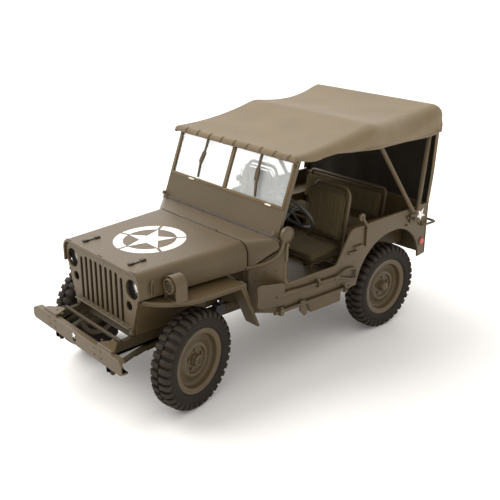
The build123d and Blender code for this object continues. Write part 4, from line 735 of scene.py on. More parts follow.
class MODEL_OT_stage(bpy.types.Operator):
    """Set up the camera, the pale floor and the soft studio light"""
    bl_idname = "model.stage"
    bl_label = "Stage"

    def execute(self, context):
        scene, light_sizes = context.scene, context.scene.model_light
        select_nothing()
        bpy.ops.object.camera_add()
        camera = context.object
        axes = Matrix((CAMERA_RIGHT, CAMERA_UP, CAMERA_BACK)).transposed()
        camera.matrix_world = Matrix.Translation(mm(*CAMERA_PLACE)) @ axes.to_4x4()
        camera.data.lens = CAMERA_LENS
        camera.data.sensor_width = 36
        camera.data.clip_start = 0.01
        camera.data.clip_end = 50
        scene.camera = camera
        select_nothing()
        bpy.ops.mesh.primitive_plane_add(size=FLOOR_SIZE)
        floor = rename(context.object, "studio_floor")
        paper = Finish("floor_paper", 0.9)
        paper.colour(paper.ramp(paper.noise(0.01, 2), FLOOR_TONES))
        paper.set("Specular IOR Level", 0.1)
        floor.data.materials.append(paper.material)
        select_nothing()
        bpy.ops.object.light_add(type="SUN", location=mm(300, -200, 400))
        light = context.object
        light.name = "key_light"
        light.rotation_euler = (-Vector(KEY_FROM)).to_track_quat("-Z", "Y").to_euler()
        light.data.energy = light_sizes.key
        light.data.angle = light_sizes.spread
        light.data.color = KEY_COLOUR
        world = bpy.data.worlds.new("white_room")
        world.use_nodes = True
        world.node_tree.nodes["Background"].inputs["Color"].default_value = ROOM_COLOUR
        self.window(world, light_sizes)
        scene.world = world
        scene.view_settings.view_transform = "Standard"
        return {"FINISHED"}

    def window(self, world, light_sizes):
        """Brighten the room in one broad direction, as a soft box that the bonnet mirrors."""
        nodes, links = world.node_tree.nodes, world.node_tree.links
        where = nodes.new("ShaderNodeTexCoord")
        toward = nodes.new("ShaderNodeVectorMath")
        toward.operation = "DOT_PRODUCT"
        toward.inputs[1].default_value = Vector(WINDOW_FROM).normalized()
        links.new(where.outputs["Generated"], toward.inputs[0])
        span = nodes.new("ShaderNodeMapRange")
        span.interpolation_type = "SMOOTHSTEP"
        values = (*WINDOW_EDGE, light_sizes.room, light_sizes.window)
        for socket, value in zip(("From Min", "From Max", "To Min", "To Max"), values):
            span.inputs[socket].default_value = value
        links.new(toward.outputs["Value"], span.inputs["Value"])
        links.new(span.outputs["Result"], nodes["Background"].inputs["Strength"])


# Wheels

class TyreSizes(bpy.types.PropertyGroup):
    """Sizes of the tyres' tread."""
    lugs: bpy.props.IntProperty(
        name="Lugs a side", description="Tread bars on each side of a tyre", default=36, min=12, max=60)
    lug_length: length_setting("Bar width", "Width of a tread bar along the tread", 2.05)


def wheel_places():
    """Body, name, middle and outward direction of each wheel, in the row frame."""
    places = []
    for name in WHEEL_BODIES:
        joint = JOINTS[f"{name}_roll"]
        out = Vector(joint["axis"])
        if "right" in name:
            out = -out
        places.append((f"{name}_wheel", name, Vector(joint["pos_m"]), out))
    low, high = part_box("spare_tyre")
    places.append((CHASSIS, "spare", (low + high) / 2, Vector(BEHIND)))
    return places


def wheel_matrix(middle, out):
    """From a wheel modelled about the origin with its outer face to +Y, to its place."""
    up = Vector(UP)
    forward = out.cross(up)
    return Matrix.Translation(middle) @ Matrix((forward, out, up)).transposed().to_4x4()


# Carcass outline: across from the middle, and out from the axle
TYRE_WALL = (
    (3.05, 12.1), (3.2, 13.0), (3.9, 13.65), (4.3, 14.3), (4.5, 15.4), (4.52, 16.5), (4.4, 17.4),
    (4.25, 17.9), (4.0, 18.5), (3.5, 19.0), (2.4, 19.3), (0.9, 19.4),
)
# Bar outline: across from the middle, and out from the axle
TREAD_BAR = (
    (0.25, 19.1), (0.25, 20.28), (1.9, 20.3), (3.3, 20.12), (4.15, 19.55), (4.52, 18.75), (4.55, 17.75),
    (4.25, 17.45), (3.6, 18.6),
)
# How far a bar's outer end stands ahead of its inner end
BAR_SKEW = 0.35
RIDGE = ((4.3, 17.2), (4.62, 17.05), (4.62, 16.85), (4.3, 16.7))


class MODEL_OT_tyres(bpy.types.Operator):
    """Model a tyre with its tread bars and put one on each wheel"""
    bl_idname = "model.tyres"
    bl_label = "Tyres"

    def execute(self, context):
        sizes = context.scene.model_tyres
        outline = list(TYRE_WALL) + [(-across, out) for across, out in reversed(TYRE_WALL)]
        carcass = turned_piece("carcass", outline, ORIGIN, LEFTWARD, 72)
        half = sizes.lug_length / MM / 2
        bar = outline_piece("bar", [(-half, across, out) for across, out in TREAD_BAR], (2 * half, 0, 0))
        for vertex in bar.data.vertices:
            across = vertex.co.y / MM
            vertex.co.x += BAR_SKEW * (across - 2.2) / 4.5 * MM
            if vertex.co.z / MM < 19.2 and across < 4:
                vertex.co.z -= 0.1 * MM
        round_edges(bar, 0.16, 1, 40, even=False)
        turns = []
        for index in range(sizes.lugs):
            turn = 2 * pi * index / sizes.lugs
            turns.append(Matrix.Rotation(turn, 4, "Y"))
            between = Matrix.Rotation(turn + pi / sizes.lugs, 4, "Y")
            turns.append(between @ Matrix.Diagonal((-1, -1, 1, 1)))
        tread = spread(bar, turns, "tread")
        ridges = [turned_piece("ridge", [(side * across, out) for across, out in RIDGE], ORIGIN, LEFTWARD, 72)
                  for side in SIDES]
        tyre = join([carcass, tread, *ridges], "tyre")
        for body, name, middle, out in wheel_places():
            piece = twin(tyre, wheel_matrix(middle, out), f"{name}_treaded_tyre")
            place(piece, body, "tyre", f"{name}_tyre")
        bpy.data.objects.remove(tyre)
        return {"FINISHED"}


# Outline of a rim: across outwards from the wheel's middle, and out from the axle
RIM_FACE = (
    (3.85, 13.35), (3.75, 13.45), (3.3, 13.35), (3.15, 12.9), (3.15, 12.0), (2.2, 11.75), (-3.15, 11.75),
    (-3.15, 12.9), (-3.3, 13.35), (-3.75, 13.45), (-3.85, 13.35), (-3.7, 12.3), (-3.3, 11.2), (-0.2, 10.9),
    (-0.2, 6.1), (-1.4, 6.1), (-1.4, 5.3), (-0.2, 5.3), (-0.2, 2.4), (-1.0, 2.4), (-1.0, 1.46), (2.5, 1.46),
    (2.5, 2.2), (2.3, 2.4), (1.2, 2.6), (1.15, 5.3), (1.95, 5.75), (2.1, 6.3), (1.9, 6.9), (1.2, 7.5),
    (0.75, 8.3), (0.62, 9.4), (0.7, 10.2), (1.1, 10.75), (1.9, 10.95), (3.3, 11.2), (3.7, 12.3),
)
NUT_CIRCLE = 4.0
NUTS = 5
CAP_BOLTS = 6
# Hub caps: outline, and how far outwards their bolts are
FRONT_CAP = (((2.2, 0.001), (2.2, 2.15), (2.45, 2.3), (3.25, 2.2), (3.4, 1.9), (3.45, 1.1), (3.0, 0.9),
              (3.0, 0.001)), 3.5)
REAR_CAP = (((2.2, 0.001), (2.2, 2.15), (2.45, 2.3), (3.3, 2.2), (3.9, 1.8), (4.2, 1.1), (4.3, 0.001)), 2.7)
# Ring that locks the tyre: radius and how far outwards; and the valve's line
LOCK_RADIUS, LOCK_OUT = 12.35, 3.45
VALVE = ((0, 1.0, 10.0), (0, 1.9, 10.2), (0, 2.6, 10.6))


def hex_ring(count, radius, depth, spot, edge=0.0):
    """Six-sided heads round a wheel's axle, the first one at spot."""
    bpy.ops.mesh.primitive_cylinder_add(vertices=6, radius=radius * MM, depth=depth * MM,
                                        rotation=(pi / 2, 0, 0), location=mm(*spot))
    head = settle(bpy.context.object)
    if edge:
        round_edges(head, edge, 1)
    return spread(head, [Matrix.Rotation(2 * pi * index / count, 4, "Y") for index in range(count)], "heads")


class MODEL_OT_rims(bpy.types.Operator):
    """Model the pressed steel rims with their hubs and nuts"""
    bl_idname = "model.rims"
    bl_label = "Rims"

    def execute(self, context):
        rim = turned_piece("rim", RIM_FACE, ORIGIN, LEFTWARD, 64)
        nuts = hex_ring(NUTS, 0.62, 0.75, (0, 1.5, NUT_CIRCLE), 0.09)
        ring = [(cos(2 * pi * k / 24) * LOCK_RADIUS, LOCK_OUT, sin(2 * pi * k / 24) * LOCK_RADIUS)
                for k in range(24)]
        lock = tube_piece("lock_ring", ring, 0.22, 3, cyclic=True, sides=2)
        valve = tube_piece("valve", VALVE, 0.28, 4, sides=2)
        plain = join([rim, nuts, lock, valve], "plain_rim")
        for body, name, middle, out in wheel_places():
            matrix = wheel_matrix(middle, out)
            place(twin(plain, matrix, f"{name}_pressed_rim"), body, "olive_paint", f"{name}_rim")
            outline, bolts_out = FRONT_CAP if name.startswith("front") else REAR_CAP
            hub = turned_piece("hub", outline, ORIGIN, LEFTWARD, 32, closed=False)
            hub = join([hub, hex_ring(CAP_BOLTS, 0.24, 0.5, (0, bolts_out, 1.6))], f"{name}_hub_cap")
            hub.data.transform(matrix)
            place(hub, body, "olive_paint")
        bpy.data.objects.remove(plain)
        return {"FINISHED"}


# Bodywork whose edges are rounded: node and edge radius in millimetres
FORMED = (
    ("left_side_panel", 0.28), ("right_side_panel", 0.28), ("rear_panel", 0.28), ("tub_floor", 0.2),
    ("bonnet", 0.3), ("cowl", 0.25), ("grille", 0.22), ("left_fender", 0.25), ("right_fender", 0.25),
    ("front_bumper", 0.4), ("windscreen_frame", 0.3), ("blackout_lamp", 0.15), ("tool_clamps", 0.12),
    ("fuel_tank", 0.6), ("jerry_can_rack", 0.2), ("bow_brackets", 0.15), ("radiator", 0.3), ("battery", 0.4),
    ("frame", 0.25), ("pintle_hook", 0.25), ("engine", 0.35),
)
# Nodes whose finish isn't the one of their slot: a near-black radiator core as painted shade behind the
# grille, and the grille's paint with painted shade in its slots
FORMED_FINISH = {"radiator": "radiator_core", "grille": "grille_paint"}


class MODEL_OT_bodywork(bpy.types.Operator):
    """Round the edges of the pressed bodywork"""
    bl_idname = "model.bodywork"
    bl_label = "Bodywork"

    def execute(self, context):
        for node, width in FORMED:
            softened(node, width, finish=FORMED_FINISH.get(node))
        return {"FINISHED"}


# Markings

class StarSizes(bpy.types.PropertyGroup):
    """Sizes of the traditional stars."""
    bonnet: length_setting("Bonnet star", "Middle to tips of the star on the bonnet", 10.6)
    ring: length_setting("Ring", "Outer radius of the ring round the star", 14.9)
    side: length_setting("Side star", "Middle to tips of the stars on the sides", 3.6)
    bumper: length_setting("Bumper star", "Middle to tips of the star on the bumper", 1.5)


# Waist of a star as a share of its radius, and inner radius of the ring as a share of its outer one
STAR_WAIST = 0.382
RING_INNER_SHARE = 0.735
# Half the gap between two arcs of the ring, at a tip
RING_CUT = 0.62
RING_STEPS = 16
# A marking's thickness, and how far it is off its face
MARK_THICKNESS = 0.05
MARK_GAP = 0.01
# Front edge of the bonnet's flat top: along the car and up
BONNET_FRONT = (80.0, 57.8)
BONNET_STAR_X = 55.5
# Side star: along the car and up; and the bumper star's height
SIDE_STAR = (-70.6, 52.6)
BUMPER_STAR_Z = 27.6


def bonnet_slope():
    """Fall of the bonnet's flat top for each millimetre ahead."""
    low, high = node_box("bonnet")
    return (high.z - BONNET_FRONT[1]) / (BONNET_FRONT[0] - low.x)


def bonnet_top(x):
    """Height of the bonnet's flat top at a place along the car."""
    low, high = node_box("bonnet")
    return high.z - (x - low.x) * bonnet_slope()


def star_piece(name, radius, spin=0.0):
    """Five-pointed star in the XY plane, a point to +X, as a thin plate."""
    points = []
    for index in range(10):
        reach = radius if index % 2 == 0 else radius * STAR_WAIST
        turn = spin + pi / 5 * index
        points.append((cos(turn) * reach, sin(turn) * reach, 0))
    return outline_piece(name, points, (0, 0, MARK_THICKNESS))


def ring_pieces(outer):
    """Five arcs of a ring, cut at the star's tips."""
    arcs = []
    for index in range(5):
        start = 2 * pi / 5 * index
        rows = []
        for radius, order in ((outer, 1), (outer * RING_INNER_SHARE, -1)):
            gap = RING_CUT / radius
            sweep = 2 * pi / 5 - 2 * gap
            turns = [start + gap + sweep * step / RING_STEPS for step in range(RING_STEPS + 1)]
            rows += [(cos(turn) * radius, sin(turn) * radius, 0) for turn in turns[::order]]
        arcs.append(outline_piece("arc", rows, (0, 0, MARK_THICKNESS)))
    return arcs


class MODEL_OT_markings(bpy.types.Operator):
    """Paint the plain stars on the bonnet, the sides and the bumper"""
    bl_idname = "model.markings"
    bl_label = "Markings"

    def execute(self, context):
        sizes = context.scene.model_stars
        star = join([star_piece("star", sizes.bonnet / MM), *ring_pieces(sizes.ring / MM)], "bonnet_star")
        tilt = Matrix.Rotation(atan(bonnet_slope()), 4, "Y")
        spot = mm(BONNET_STAR_X, 0, bonnet_top(BONNET_STAR_X) + MARK_GAP)
        star.data.transform(Matrix.Translation(spot) @ tilt)
        place(star, "bonnet", "olive_paint", finish="white_marking")
        face = node_box("left_side_panel")[1].y + MARK_GAP
        for side, name in zip(SIDES, ("left", "right")):
            star = star_piece(f"{name}_side_star", sizes.side / MM, side * pi / 2)
            spot = mm(SIDE_STAR[0], side * face, SIDE_STAR[1])
            star.data.transform(Matrix.Translation(spot) @ Matrix.Rotation(-side * pi / 2, 4, "X"))
            place(star, CHASSIS, "olive_paint", finish="white_marking")
        star = star_piece("bumper_star", sizes.bumper / MM, pi / 2)
        spot = mm(node_box("front_bumper")[1].x + MARK_GAP, 0, BUMPER_STAR_Z)
        ahead = Matrix(((0, 0, 1), (1, 0, 0), (0, 1, 0))).to_4x4()
        star.data.transform(Matrix.Translation(spot) @ ahead)
        place(star, CHASSIS, "olive_paint", finish="white_marking")
        return {"FINISHED"}


# Soft top

class SoftTop(bpy.types.PropertyGroup):
    """How the soft top hangs."""
    front_sag: length_setting("Front sag", "How far the cloth hangs behind the windscreen", 1.3)
    rear_sag: length_setting("Rear sag", "How far the cloth hangs between the bows", 2.3)
    cloth: length_setting("Cloth", "Thickness of the cloth", 0.5)


# Tables of (place along the car, value): height of the supports, half width of the cloth, radius of its
# shoulder, how far its lower edge is tucked in, and the height of its hem
TOP_SUPPORTS = ((11.6, 93.5), (-34.2, 100.5), (-78.0, 103.5))
TOP_HALF = ((12.5, 39.7), (0, 40.0), (-15, 40.3), (-30, 40.9), (-34.2, 41.0), (-45, 40.7), (-56, 40.6),
            (-68, 40.7), (-78, 41.0), (-81, 40.5))
TOP_SHOULDER = ((12.5, 1.7), (0, 3.6), (-12, 4.6), (-24, 5.2), (-34.2, 5.2), (-44, 7.0), (-56, 8.0),
                (-68, 7.0), (-78, 5.3), (-81, 5.0))
TOP_TUCK = ((12.5, 0.1), (4, 0.9), (-8, 1.5), (-24, 1.2), (-34.2, 0.1), (-45, 0.7), (-60, 0.8), (-72, 0.5),
            (-78, 0.1), (-81, 0.1))
HEM_HEIGHT = ((12.5, 91.8), (10.8, 91.9), (4.6, 90.4), (-1.6, 90.1), (-7.8, 91.2), (-21.1, 90.3),
              (-40.8, 89.6), (-57.3, 89.6), (-71.5, 89.6), (-81.2, 90.8))
# Rows of the rolled front edge and the rear fall: along the car, and the height they reach
FRONT_ROLL = ((10.5, 91.7), (10.8, 91.1), (11.5, 90.8), (12.15, 91.1), (12.5, 91.8), (12.45, 92.7),
              (12.1, 93.3))
REAR_FALL = ((-78.9, 103.3), (-79.8, 102.4), (-80.5, 101.0), (-80.85, 99.3), (-80.95, 97.0), (-80.9, 94.5),
             (-80.8, 92.3), (-80.7, 90.9))
# Height that no part of the cloth reaches
UNLIMITED = 200.0
TOP_ROWS = 64
TOP_COLUMNS = 110
# Places about a point whose heights are averaged, so that the cloth bends softly over a bow
TOP_SOFTNESS = (-1.8, -0.9, 0, 0.9, 1.8)
# Hem: its ends along the car and its outline
HEM_ENDS = (11.0, -80.4)
HEM_STEPS = 72
HEM_OUTLINE = ((-0.6, -0.1), (-0.3, -0.2), (0.05, -0.15), (0.22, 0.05), (0.26, 0.95), (0.12, 1.12),
               (-0.45, 1.1), (-0.62, 0.9))
# Ties over the front edge: how many, their distance, and the line of one
TIES, TIE_PITCH = 9, 8.3
TIE = ((12.5, -0.5, 91.0), (12.78, 0, 91.7), (12.75, 0.5, 92.6), (12.2, 0.9, 93.5), (11.4, 1.2, 93.75))


def top_height(x, sags):
    """Height of the cloth along its middle, hanging between its supports and bent softly over them."""
    total = 0
    for step in TOP_SOFTNESS:
        spot = min(max(x + step, TOP_SUPPORTS[-1][0]), TOP_SUPPORTS[0][0])
        for (start, first), (end, last), sag in zip(TOP_SUPPORTS, TOP_SUPPORTS[1:], sags):
            if start >= spot >= end:
                share = (start - spot) / (start - end)
                height = first + (last - first) * share - sag * 4 * share * (1 - share)
        total += height
    return total / len(TOP_SOFTNESS)


def top_point(x, across, sags):
    """Place of the cloth's outer face, across it from the right hem at 0 to the left hem at 1."""
    side = 1 if across > 0.5 else -1
    half, shoulder = curve_through(TOP_HALF, x), curve_through(TOP_SHOULDER, x)
    top, hem = top_height(x, sags), curve_through(HEM_HEIGHT, x)
    flat, bend = half - shoulder, shoulder * pi / 2
    fall = max(top - shoulder - hem, 0.1)
    reach = abs(across - 0.5) * 2 * (flat + bend + fall)
    if reach < flat:
        soft = noise.noise(Vector((x * 0.07, side * reach * 0.04, 2.0))) * 0.35
        return x, side * reach, top + soft * (1 - (reach / flat) ** 4)
    if reach < flat + bend:
        turn = (reach - flat) / shoulder
        return x, side * (flat + shoulder * sin(turn)), top - shoulder * (1 - cos(turn))
    down = (reach - flat - bend) / fall
    return x, side * (half - curve_through(TOP_TUCK, x) * down ** 1.6), top - shoulder - down * fall


# Rear curtain: upper and lower edge along the car and up, half width, and how far it is folded round the side
CURTAIN_TOP = (-79.9, 92.6)
CURTAIN_FOOT = (-76.55, 56.3)
CURTAIN_HALF = 40.2
CURTAIN_RETURN = 3.0
# Window flap and its straps: faces across and down; middle and width across the curtain; top and length
# down it; and how far they are off it
FLAP_PARTS = ((24, 12, 0, 0.8, 0.72, 0.46, 0.35), (3, 16, -0.22, 0.05, 0.9, 0.74, 0.7),
              (3, 16, 0.22, 0.05, 0.9, 0.74, 0.7))
FLAP_STUDS = (-0.75, -0.38, 0, 0.38, 0.75)
# How much higher the folded side ends, and how far it stands out
RETURN_RISE = 1.9
RETURN_OUT = 0.5


def curtain_point(across, down, out=0.0):
    """Place on the rear curtain, across it from -1 to 1 and down it from 0 to 1."""
    x = CURTAIN_TOP[0] + (CURTAIN_FOOT[0] - CURTAIN_TOP[0]) * down
    z = CURTAIN_TOP[1] + (CURTAIN_FOOT[1] - CURTAIN_TOP[1]) * down
    y = across * (CURTAIN_HALF + CURTAIN_RETURN)
    wave = sin(y * 0.42 + 0.8) * 0.3 * down + noise.noise(Vector((y * 0.09, z * 0.06, 5))) * 0.35
    billow = sin(pi * down) * 0.5
    turned = max(abs(y) - CURTAIN_HALF, 0)
    share = min(turned, 1)
    if turned:
        y = (CURTAIN_HALF + RETURN_OUT * share) * (1 if y > 0 else -1)
        z = max(z, CURTAIN_FOOT[1] + RETURN_RISE * share)
    return x - billow - wave * (1 - share) + turned - out, y, z


class MODEL_OT_soft_top(bpy.types.Operator):
    """Model the soft top's cloth, its hem and lacing, and the rear curtain"""
    bl_idname = "model.soft_top"
    bl_label = "Soft top"

    def execute(self, context):
        sizes = context.scene.model_top
        sags = (sizes.front_sag / MM, sizes.rear_sag / MM)
        wall = sizes.cloth / MM
        front, tail = TOP_SUPPORTS[0][0], TOP_SUPPORTS[-1][0]
        rows = list(FRONT_ROLL)
        rows += [(front + (tail - front) * step / TOP_ROWS, UNLIMITED) for step in range(TOP_ROWS + 1)]
        rows += list(REAR_FALL)

        def cloth(u, v):
            x, reach = rows[round(u * (len(rows) - 1))]
            spot = top_point(min(x, front) if x > tail else x, v, sags)
            return x, spot[1], min(spot[2], reach)

        skin = grid_piece("canopy_skin", len(rows) - 1, TOP_COLUMNS, cloth)
        edit(skin)
        bpy.ops.mesh.normals_make_consistent(inside=False)
        bpy.ops.object.mode_set(mode="OBJECT")
        thicken(skin, wall, self.inward(skin))
        smooth(skin, 65)
        place(skin, CHASSIS, "canvas", "canopy")
        curtain = grid_piece("rear_curtain", 90, 34, lambda u, v: curtain_point(u * 2 - 1, 1 - v))
        thicken(curtain, wall, 0)
        place(smooth(curtain, 65), CHASSIS, "canvas", "canopy", finish="curtain_canvas")
        trims = [self.hem(side, sags) for side in SIDES] + self.lacing()
        trims = fit(trims, "canopy_hem", "canvas", finish="hem_canvas")
        patch = place(self.window_patch(), CHASSIS, "canvas", finish="curtain_canvas")
        return {"FINISHED"}

    def inward(self, skin):
        """Side of the sheet that its thickness goes to, so that it grows towards the inside."""
        middle = min(skin.data.polygons, key=lambda polygon: (polygon.center - mm(-20, 0, 100)).length)
        return -1 if middle.normal.z > 0 else 1

    def hem(self, side, sags):
        """Folded binding along one lower edge."""
        first, last = HEM_ENDS
        path = []
        for step in range(HEM_STEPS + 1):
            spot = top_point(first + (last - first) * step / HEM_STEPS, 1.0 if side > 0 else 0.0, sags)
            path.append((spot, (0, side, 0), UP))
        return swept_piece("hem", path, HEM_OUTLINE)

    def lacing(self):
        """Short ties over the rolled front edge."""
        ties = []
        for index in range(TIES):
            middle = (index - (TIES - 1) / 2) * TIE_PITCH + 1.5
            ties.append(tube_piece("tie", [(x, middle + y, z) for x, y, z in TIE], 0.2, 4, sides=2))
        return ties

    def window_patch(self):
        """Closed window flap with two straps on the curtain's outer face."""
        pieces = []
        for along, across, middle, width, top, length, out in FLAP_PARTS:
            part = grid_piece("part", along, across, lambda u, v: curtain_point(
                middle + (u - 0.5) * width, top - v * length, out))
            pieces.append(thicken(part, 0.3, 0))
        spots = [(curtain_point(across, 0.93, 0.2), BEHIND) for across in FLAP_STUDS]
        pieces.append(rivets("studs", spots, 0.7, 0.5))
        return smooth(join(pieces, "curtain_flap"), 60)


# Seats

class SeatSizes(bpy.types.PropertyGroup):
    """How the seat pads are sewn."""
    channel: length_setting("Channel width", "Distance between the sewn channels", 2.25)
    depth: length_setting("Channel depth", "Depth of the sewn channels", 0.24)
    swelling: length_setting("Swelling", "How far the cloth simulation may push a point, on the model", 0.55)


# The pads are simulated this many times larger than the model, which is the size of the real car's pads
PAD_SCALE = 18.0
# Size of a face in metres, and frames of the simulation
PAD_VOXEL = 0.0085
PAD_STEPS = 20
SEAT_WIDTH, SEAT_MIDDLE = 22.8, 23.2
# A pad's outline is this much narrower than its seat
PAD_INSET = 1.1
# Pads: height, lower and upper corner radius; thickness; foot of the sewn face, and the way it runs up
CUSHION = ((16.4, 1.6, 0.8), 3.9, (-3.9, 0, 43.4), (-1, 0, 0))
BACK = ((20.6, 1.0, 4.4), 2.5, (-23.2, 0, 49.6), (-3.0, 0, 21.6))
BENCH = ((11.8, 1.2, 0.8), 3.0, (-44.5, 0, 44.7), (-1, 0, 0))
BENCH_BACK = ((12.4, 0.8, 1.5), 1.9, (-59.2, 0, 48.9), (-3.0, 0, 13.5))
# Piping: how much narrower than the seat; height, lower and upper corner radius; its two heights on the pad
CUSHION_PIPING = (0.5, (17.0, 1.8, 1.0), (3.55, 0.5))
BACK_PIPING = (0.6, (21.2, 1.0, 4.6), (2.2, 0.35))
# A cushion is this share thinner at its foot
CUSHION_TAPER = 0.2


def pad_outline(width, height, low_corner, high_corner, steps=5):
    """Outline of a pad with round corners: across from its middle, and up from its foot."""
    points = []
    corners = ((width / 2 - low_corner, low_corner, -pi / 2, low_corner),
               (width / 2 - high_corner, height - high_corner, 0, high_corner),
               (high_corner - width / 2, height - high_corner, pi / 2, high_corner),
               (low_corner - width / 2, low_corner, pi, low_corner))
    for across, up, start, radius in corners:
        for step in range(steps + 1):
            turn = start + pi / 2 * step / steps
            points.append((across + cos(turn) * radius, up + sin(turn) * radius, 0))
    return points


def pad_matrix(foot, up):
    """From a pad modelled across +X, up +Y and with its sewn face to +Z, to its place."""
    across, up = Vector((0, 1, 0)), Vector(up).normalized()
    return Matrix.Translation(mm(*foot)) @ Matrix((across, up, across.cross(up))).transposed().to_4x4()


def stuffed(name, width, pad, sizes):
    """Cushion swollen by cloth simulation at the real car's size, with sewn channels along it."""
    outline, thickness = pad_outline(width - PAD_INSET, *pad[0]), pad[1]
    points = [Vector(point) * PAD_SCALE for point in outline]
    pad = outline_piece(name, points, (0, 0, thickness * PAD_SCALE))
    round_edges(pad, 0.5 * PAD_SCALE, 3, 50, even=False)
    even = pad.modifiers.new("Even faces", "REMESH")
    even.mode = "VOXEL"
    even.voxel_size = PAD_VOXEL
    apply_modifiers(pad)
    starts = [vertex.co.copy() for vertex in pad.data.vertices]
    most = sizes.swelling * PAD_SCALE
    swell = pad.modifiers.new("Swelling", "CLOTH")
    swell.settings.quality = 5
    swell.settings.use_pressure = True
    swell.settings.uniform_pressure_force = 4
    swell.settings.effector_weights.gravity = 0
    swell.point_cache.frame_end = PAD_STEPS
    for number in range(1, PAD_STEPS + 1):
        bpy.context.scene.frame_set(number)
    apply_modifiers(pad)
    bpy.context.scene.frame_set(1)
    for vertex, start in zip(pad.data.vertices, starts):
        move = vertex.co - start
        if move.length > most:
            vertex.co = start + move.normalized() * most
    finer = pad.modifiers.new("Finer", "SUBSURF")
    finer.levels = 1
    finer.render_levels = 1
    apply_modifiers(pad)
    pad.data.transform(Matrix.Scale(1 / PAD_SCALE, 4))
    top = thickness * MM
    for vertex in pad.data.vertices:
        share = vertex.co.x / sizes.channel + 0.5
        groove = abs(share - round(share)) * 2
        facing_out = min(max((vertex.co.z / top - 0.55) / 0.35, 0), 1)
        vertex.co.z -= sizes.depth * facing_out * (1 - min(groove / 0.55, 1)) ** 1.5
        vertex.co.z -= sizes.depth * 0.35 * facing_out * abs(noise.noise(vertex.co * 260))
    return smooth(pad, 80)


def piped(pad, piping, name):
    """A pad with its piping."""
    inset, sizes, heights = piping
    outline = pad_outline(SEAT_WIDTH - inset, *sizes)
    welts = [tube_piece("piping", [(*spot[:2], height) for spot in outline], 0.24, 2, cyclic=True, sides=2)
             for height in heights]
    return join([pad, *welts], name)


class MODEL_OT_seats(bpy.types.Operator):
    """Sew the seat pads, swollen by cloth simulation, and their piping"""
    bl_idname = "model.seats"
    bl_label = "Seats"

    def execute(self, context):
        sizes = context.scene.model_seats
        cushion = piped(stuffed("cushion", SEAT_WIDTH, CUSHION, sizes), CUSHION_PIPING, "cushion")
        length = CUSHION_PIPING[1][0] * MM
        for vertex in cushion.data.vertices:
            vertex.co.z *= 1 - CUSHION_TAPER + CUSHION_TAPER * vertex.co.y / length
        back = piped(stuffed("back", SEAT_WIDTH, BACK, sizes), BACK_PIPING, "back")
        for pad, sizes_of in ((cushion, CUSHION), (back, BACK)):
            pad.data.transform(pad_matrix(*sizes_of[2:]))
        for side, name in zip(SIDES, ("left", "right")):
            shift = Matrix.Translation(mm(0, side * SEAT_MIDDLE, 0))
            for pad, kind in ((cushion, "cushion"), (back, "back")):
                piece = twin(pad, shift, f"{name}_seat_{kind}")
                place(piece, CHASSIS, "seat_fabric", "front_seat_pads")
        for pad in (cushion, back):
            bpy.data.objects.remove(pad)
        low, high = node_box("rear_seat_pads")
        benches = []
        for name, sizes_of in (("rear_cushion", BENCH), ("rear_back", BENCH_BACK)):
            bench = stuffed(name, high.y - low.y, sizes_of, sizes)
            bench.data.transform(pad_matrix(*sizes_of[2:]))
            benches.append(bench)
        for piece in benches:
            place(piece, CHASSIS, "seat_fabric", "rear_seat_pads")
        return {"FINISHED"}


# Windscreen

# Foot of the screen's front face, along the car and up, and its direction upwards
SCREEN_FOOT = (20.6, 61.6)
SCREEN_UP = (-0.3457, 0.9383)
# Corners of a pane: across and up, and the way its frame's mitre looks
PANE_CORNERS = ((0.7, 12.2, -1, -1), (36.6, 12.2, 1, -1), (36.6, 30.7, 1, 1), (0.7, 30.7, -1, 1))
PANE_OUTLINE = ((-0.3, -0.5), (0.95, -0.5), (0.95, 0.2), (0.75, 0.34), (-0.1, 0.34), (-0.3, 0.15))
# Bright clips: across, up, and length
CLIPS = ((-21.5, 31.4, 3.4), (2.0, 31.4, 3.4), (-22.2, 11.5, 3.6), (28.7, 11.5, 3.6))
# Wipers: (across, up) of the top, the two ends of the holder, and the blade's tip
WIPERS = (
    ((-16.9, 31.6), (-17.2, 24.8), (-18.3, 19.6), (-17.6, 13.2)),
    ((18.4, 31.6), (18.5, 24.8), (18.9, 19.4), (20.6, 13.0)),
)
# Arm, holder and blade of a wiper: width at each end, how far out, and how thick
WIPER_BARS = (((1.7, 1.3), 0.7, 0.45), ((2.1, 2.1), 0.5, 0.8), ((1.15, 0.9), 0.3, 0.8))
# Rubber strip below the screen: its bent left end as (place, across, up), its straight part, and its outline
SEAL_END = (((18.9, 39.4, 58.8), (0, 0, 1), (0, 1, 0)), ((20.0, 38.9, 60.4), (0.4, 0, 0.8), (0.3, 0.9, 0.2)))
SEAL_PLACE = (20.75, 37.6, 61.35)
SEAL_STEPS = 12
SEAL_OUTLINE = ((-0.75, -0.5), (-0.75, 0.25), (-0.5, 0.5), (0.55, 0.5), (0.8, 0.25), (0.8, -0.5))
SEAL_RIVETS = 9
SCREEN_PIVOT = (21.2, 37.4, 63.4)


def on_screen(y, up, out=0.0):
    """Place on the windscreen: across the car, up from its foot, and out from its front face."""
    lean, rise = SCREEN_UP
    return SCREEN_FOOT[0] + lean * up + rise * out, y, SCREEN_FOOT[1] + rise * up - lean * out


def screen_bar(name, first, last, widths, out, thickness):
    """Flat bar on the windscreen between two (across, up) ends, with a width at each."""
    first, last = Vector(first), Vector(last)
    along = last - first
    side = Vector((-along.y, along.x)).normalized() / 2
    corners = (first + side * widths[0], first - side * widths[0],
               last - side * widths[1], last + side * widths[1])
    depth = Vector(on_screen(0, 0, thickness)) - Vector(on_screen(0, 0))
    piece = outline_piece(name, [on_screen(y, up, out) for y, up in corners], depth)
    return round_edges(piece, 0.08, 1)


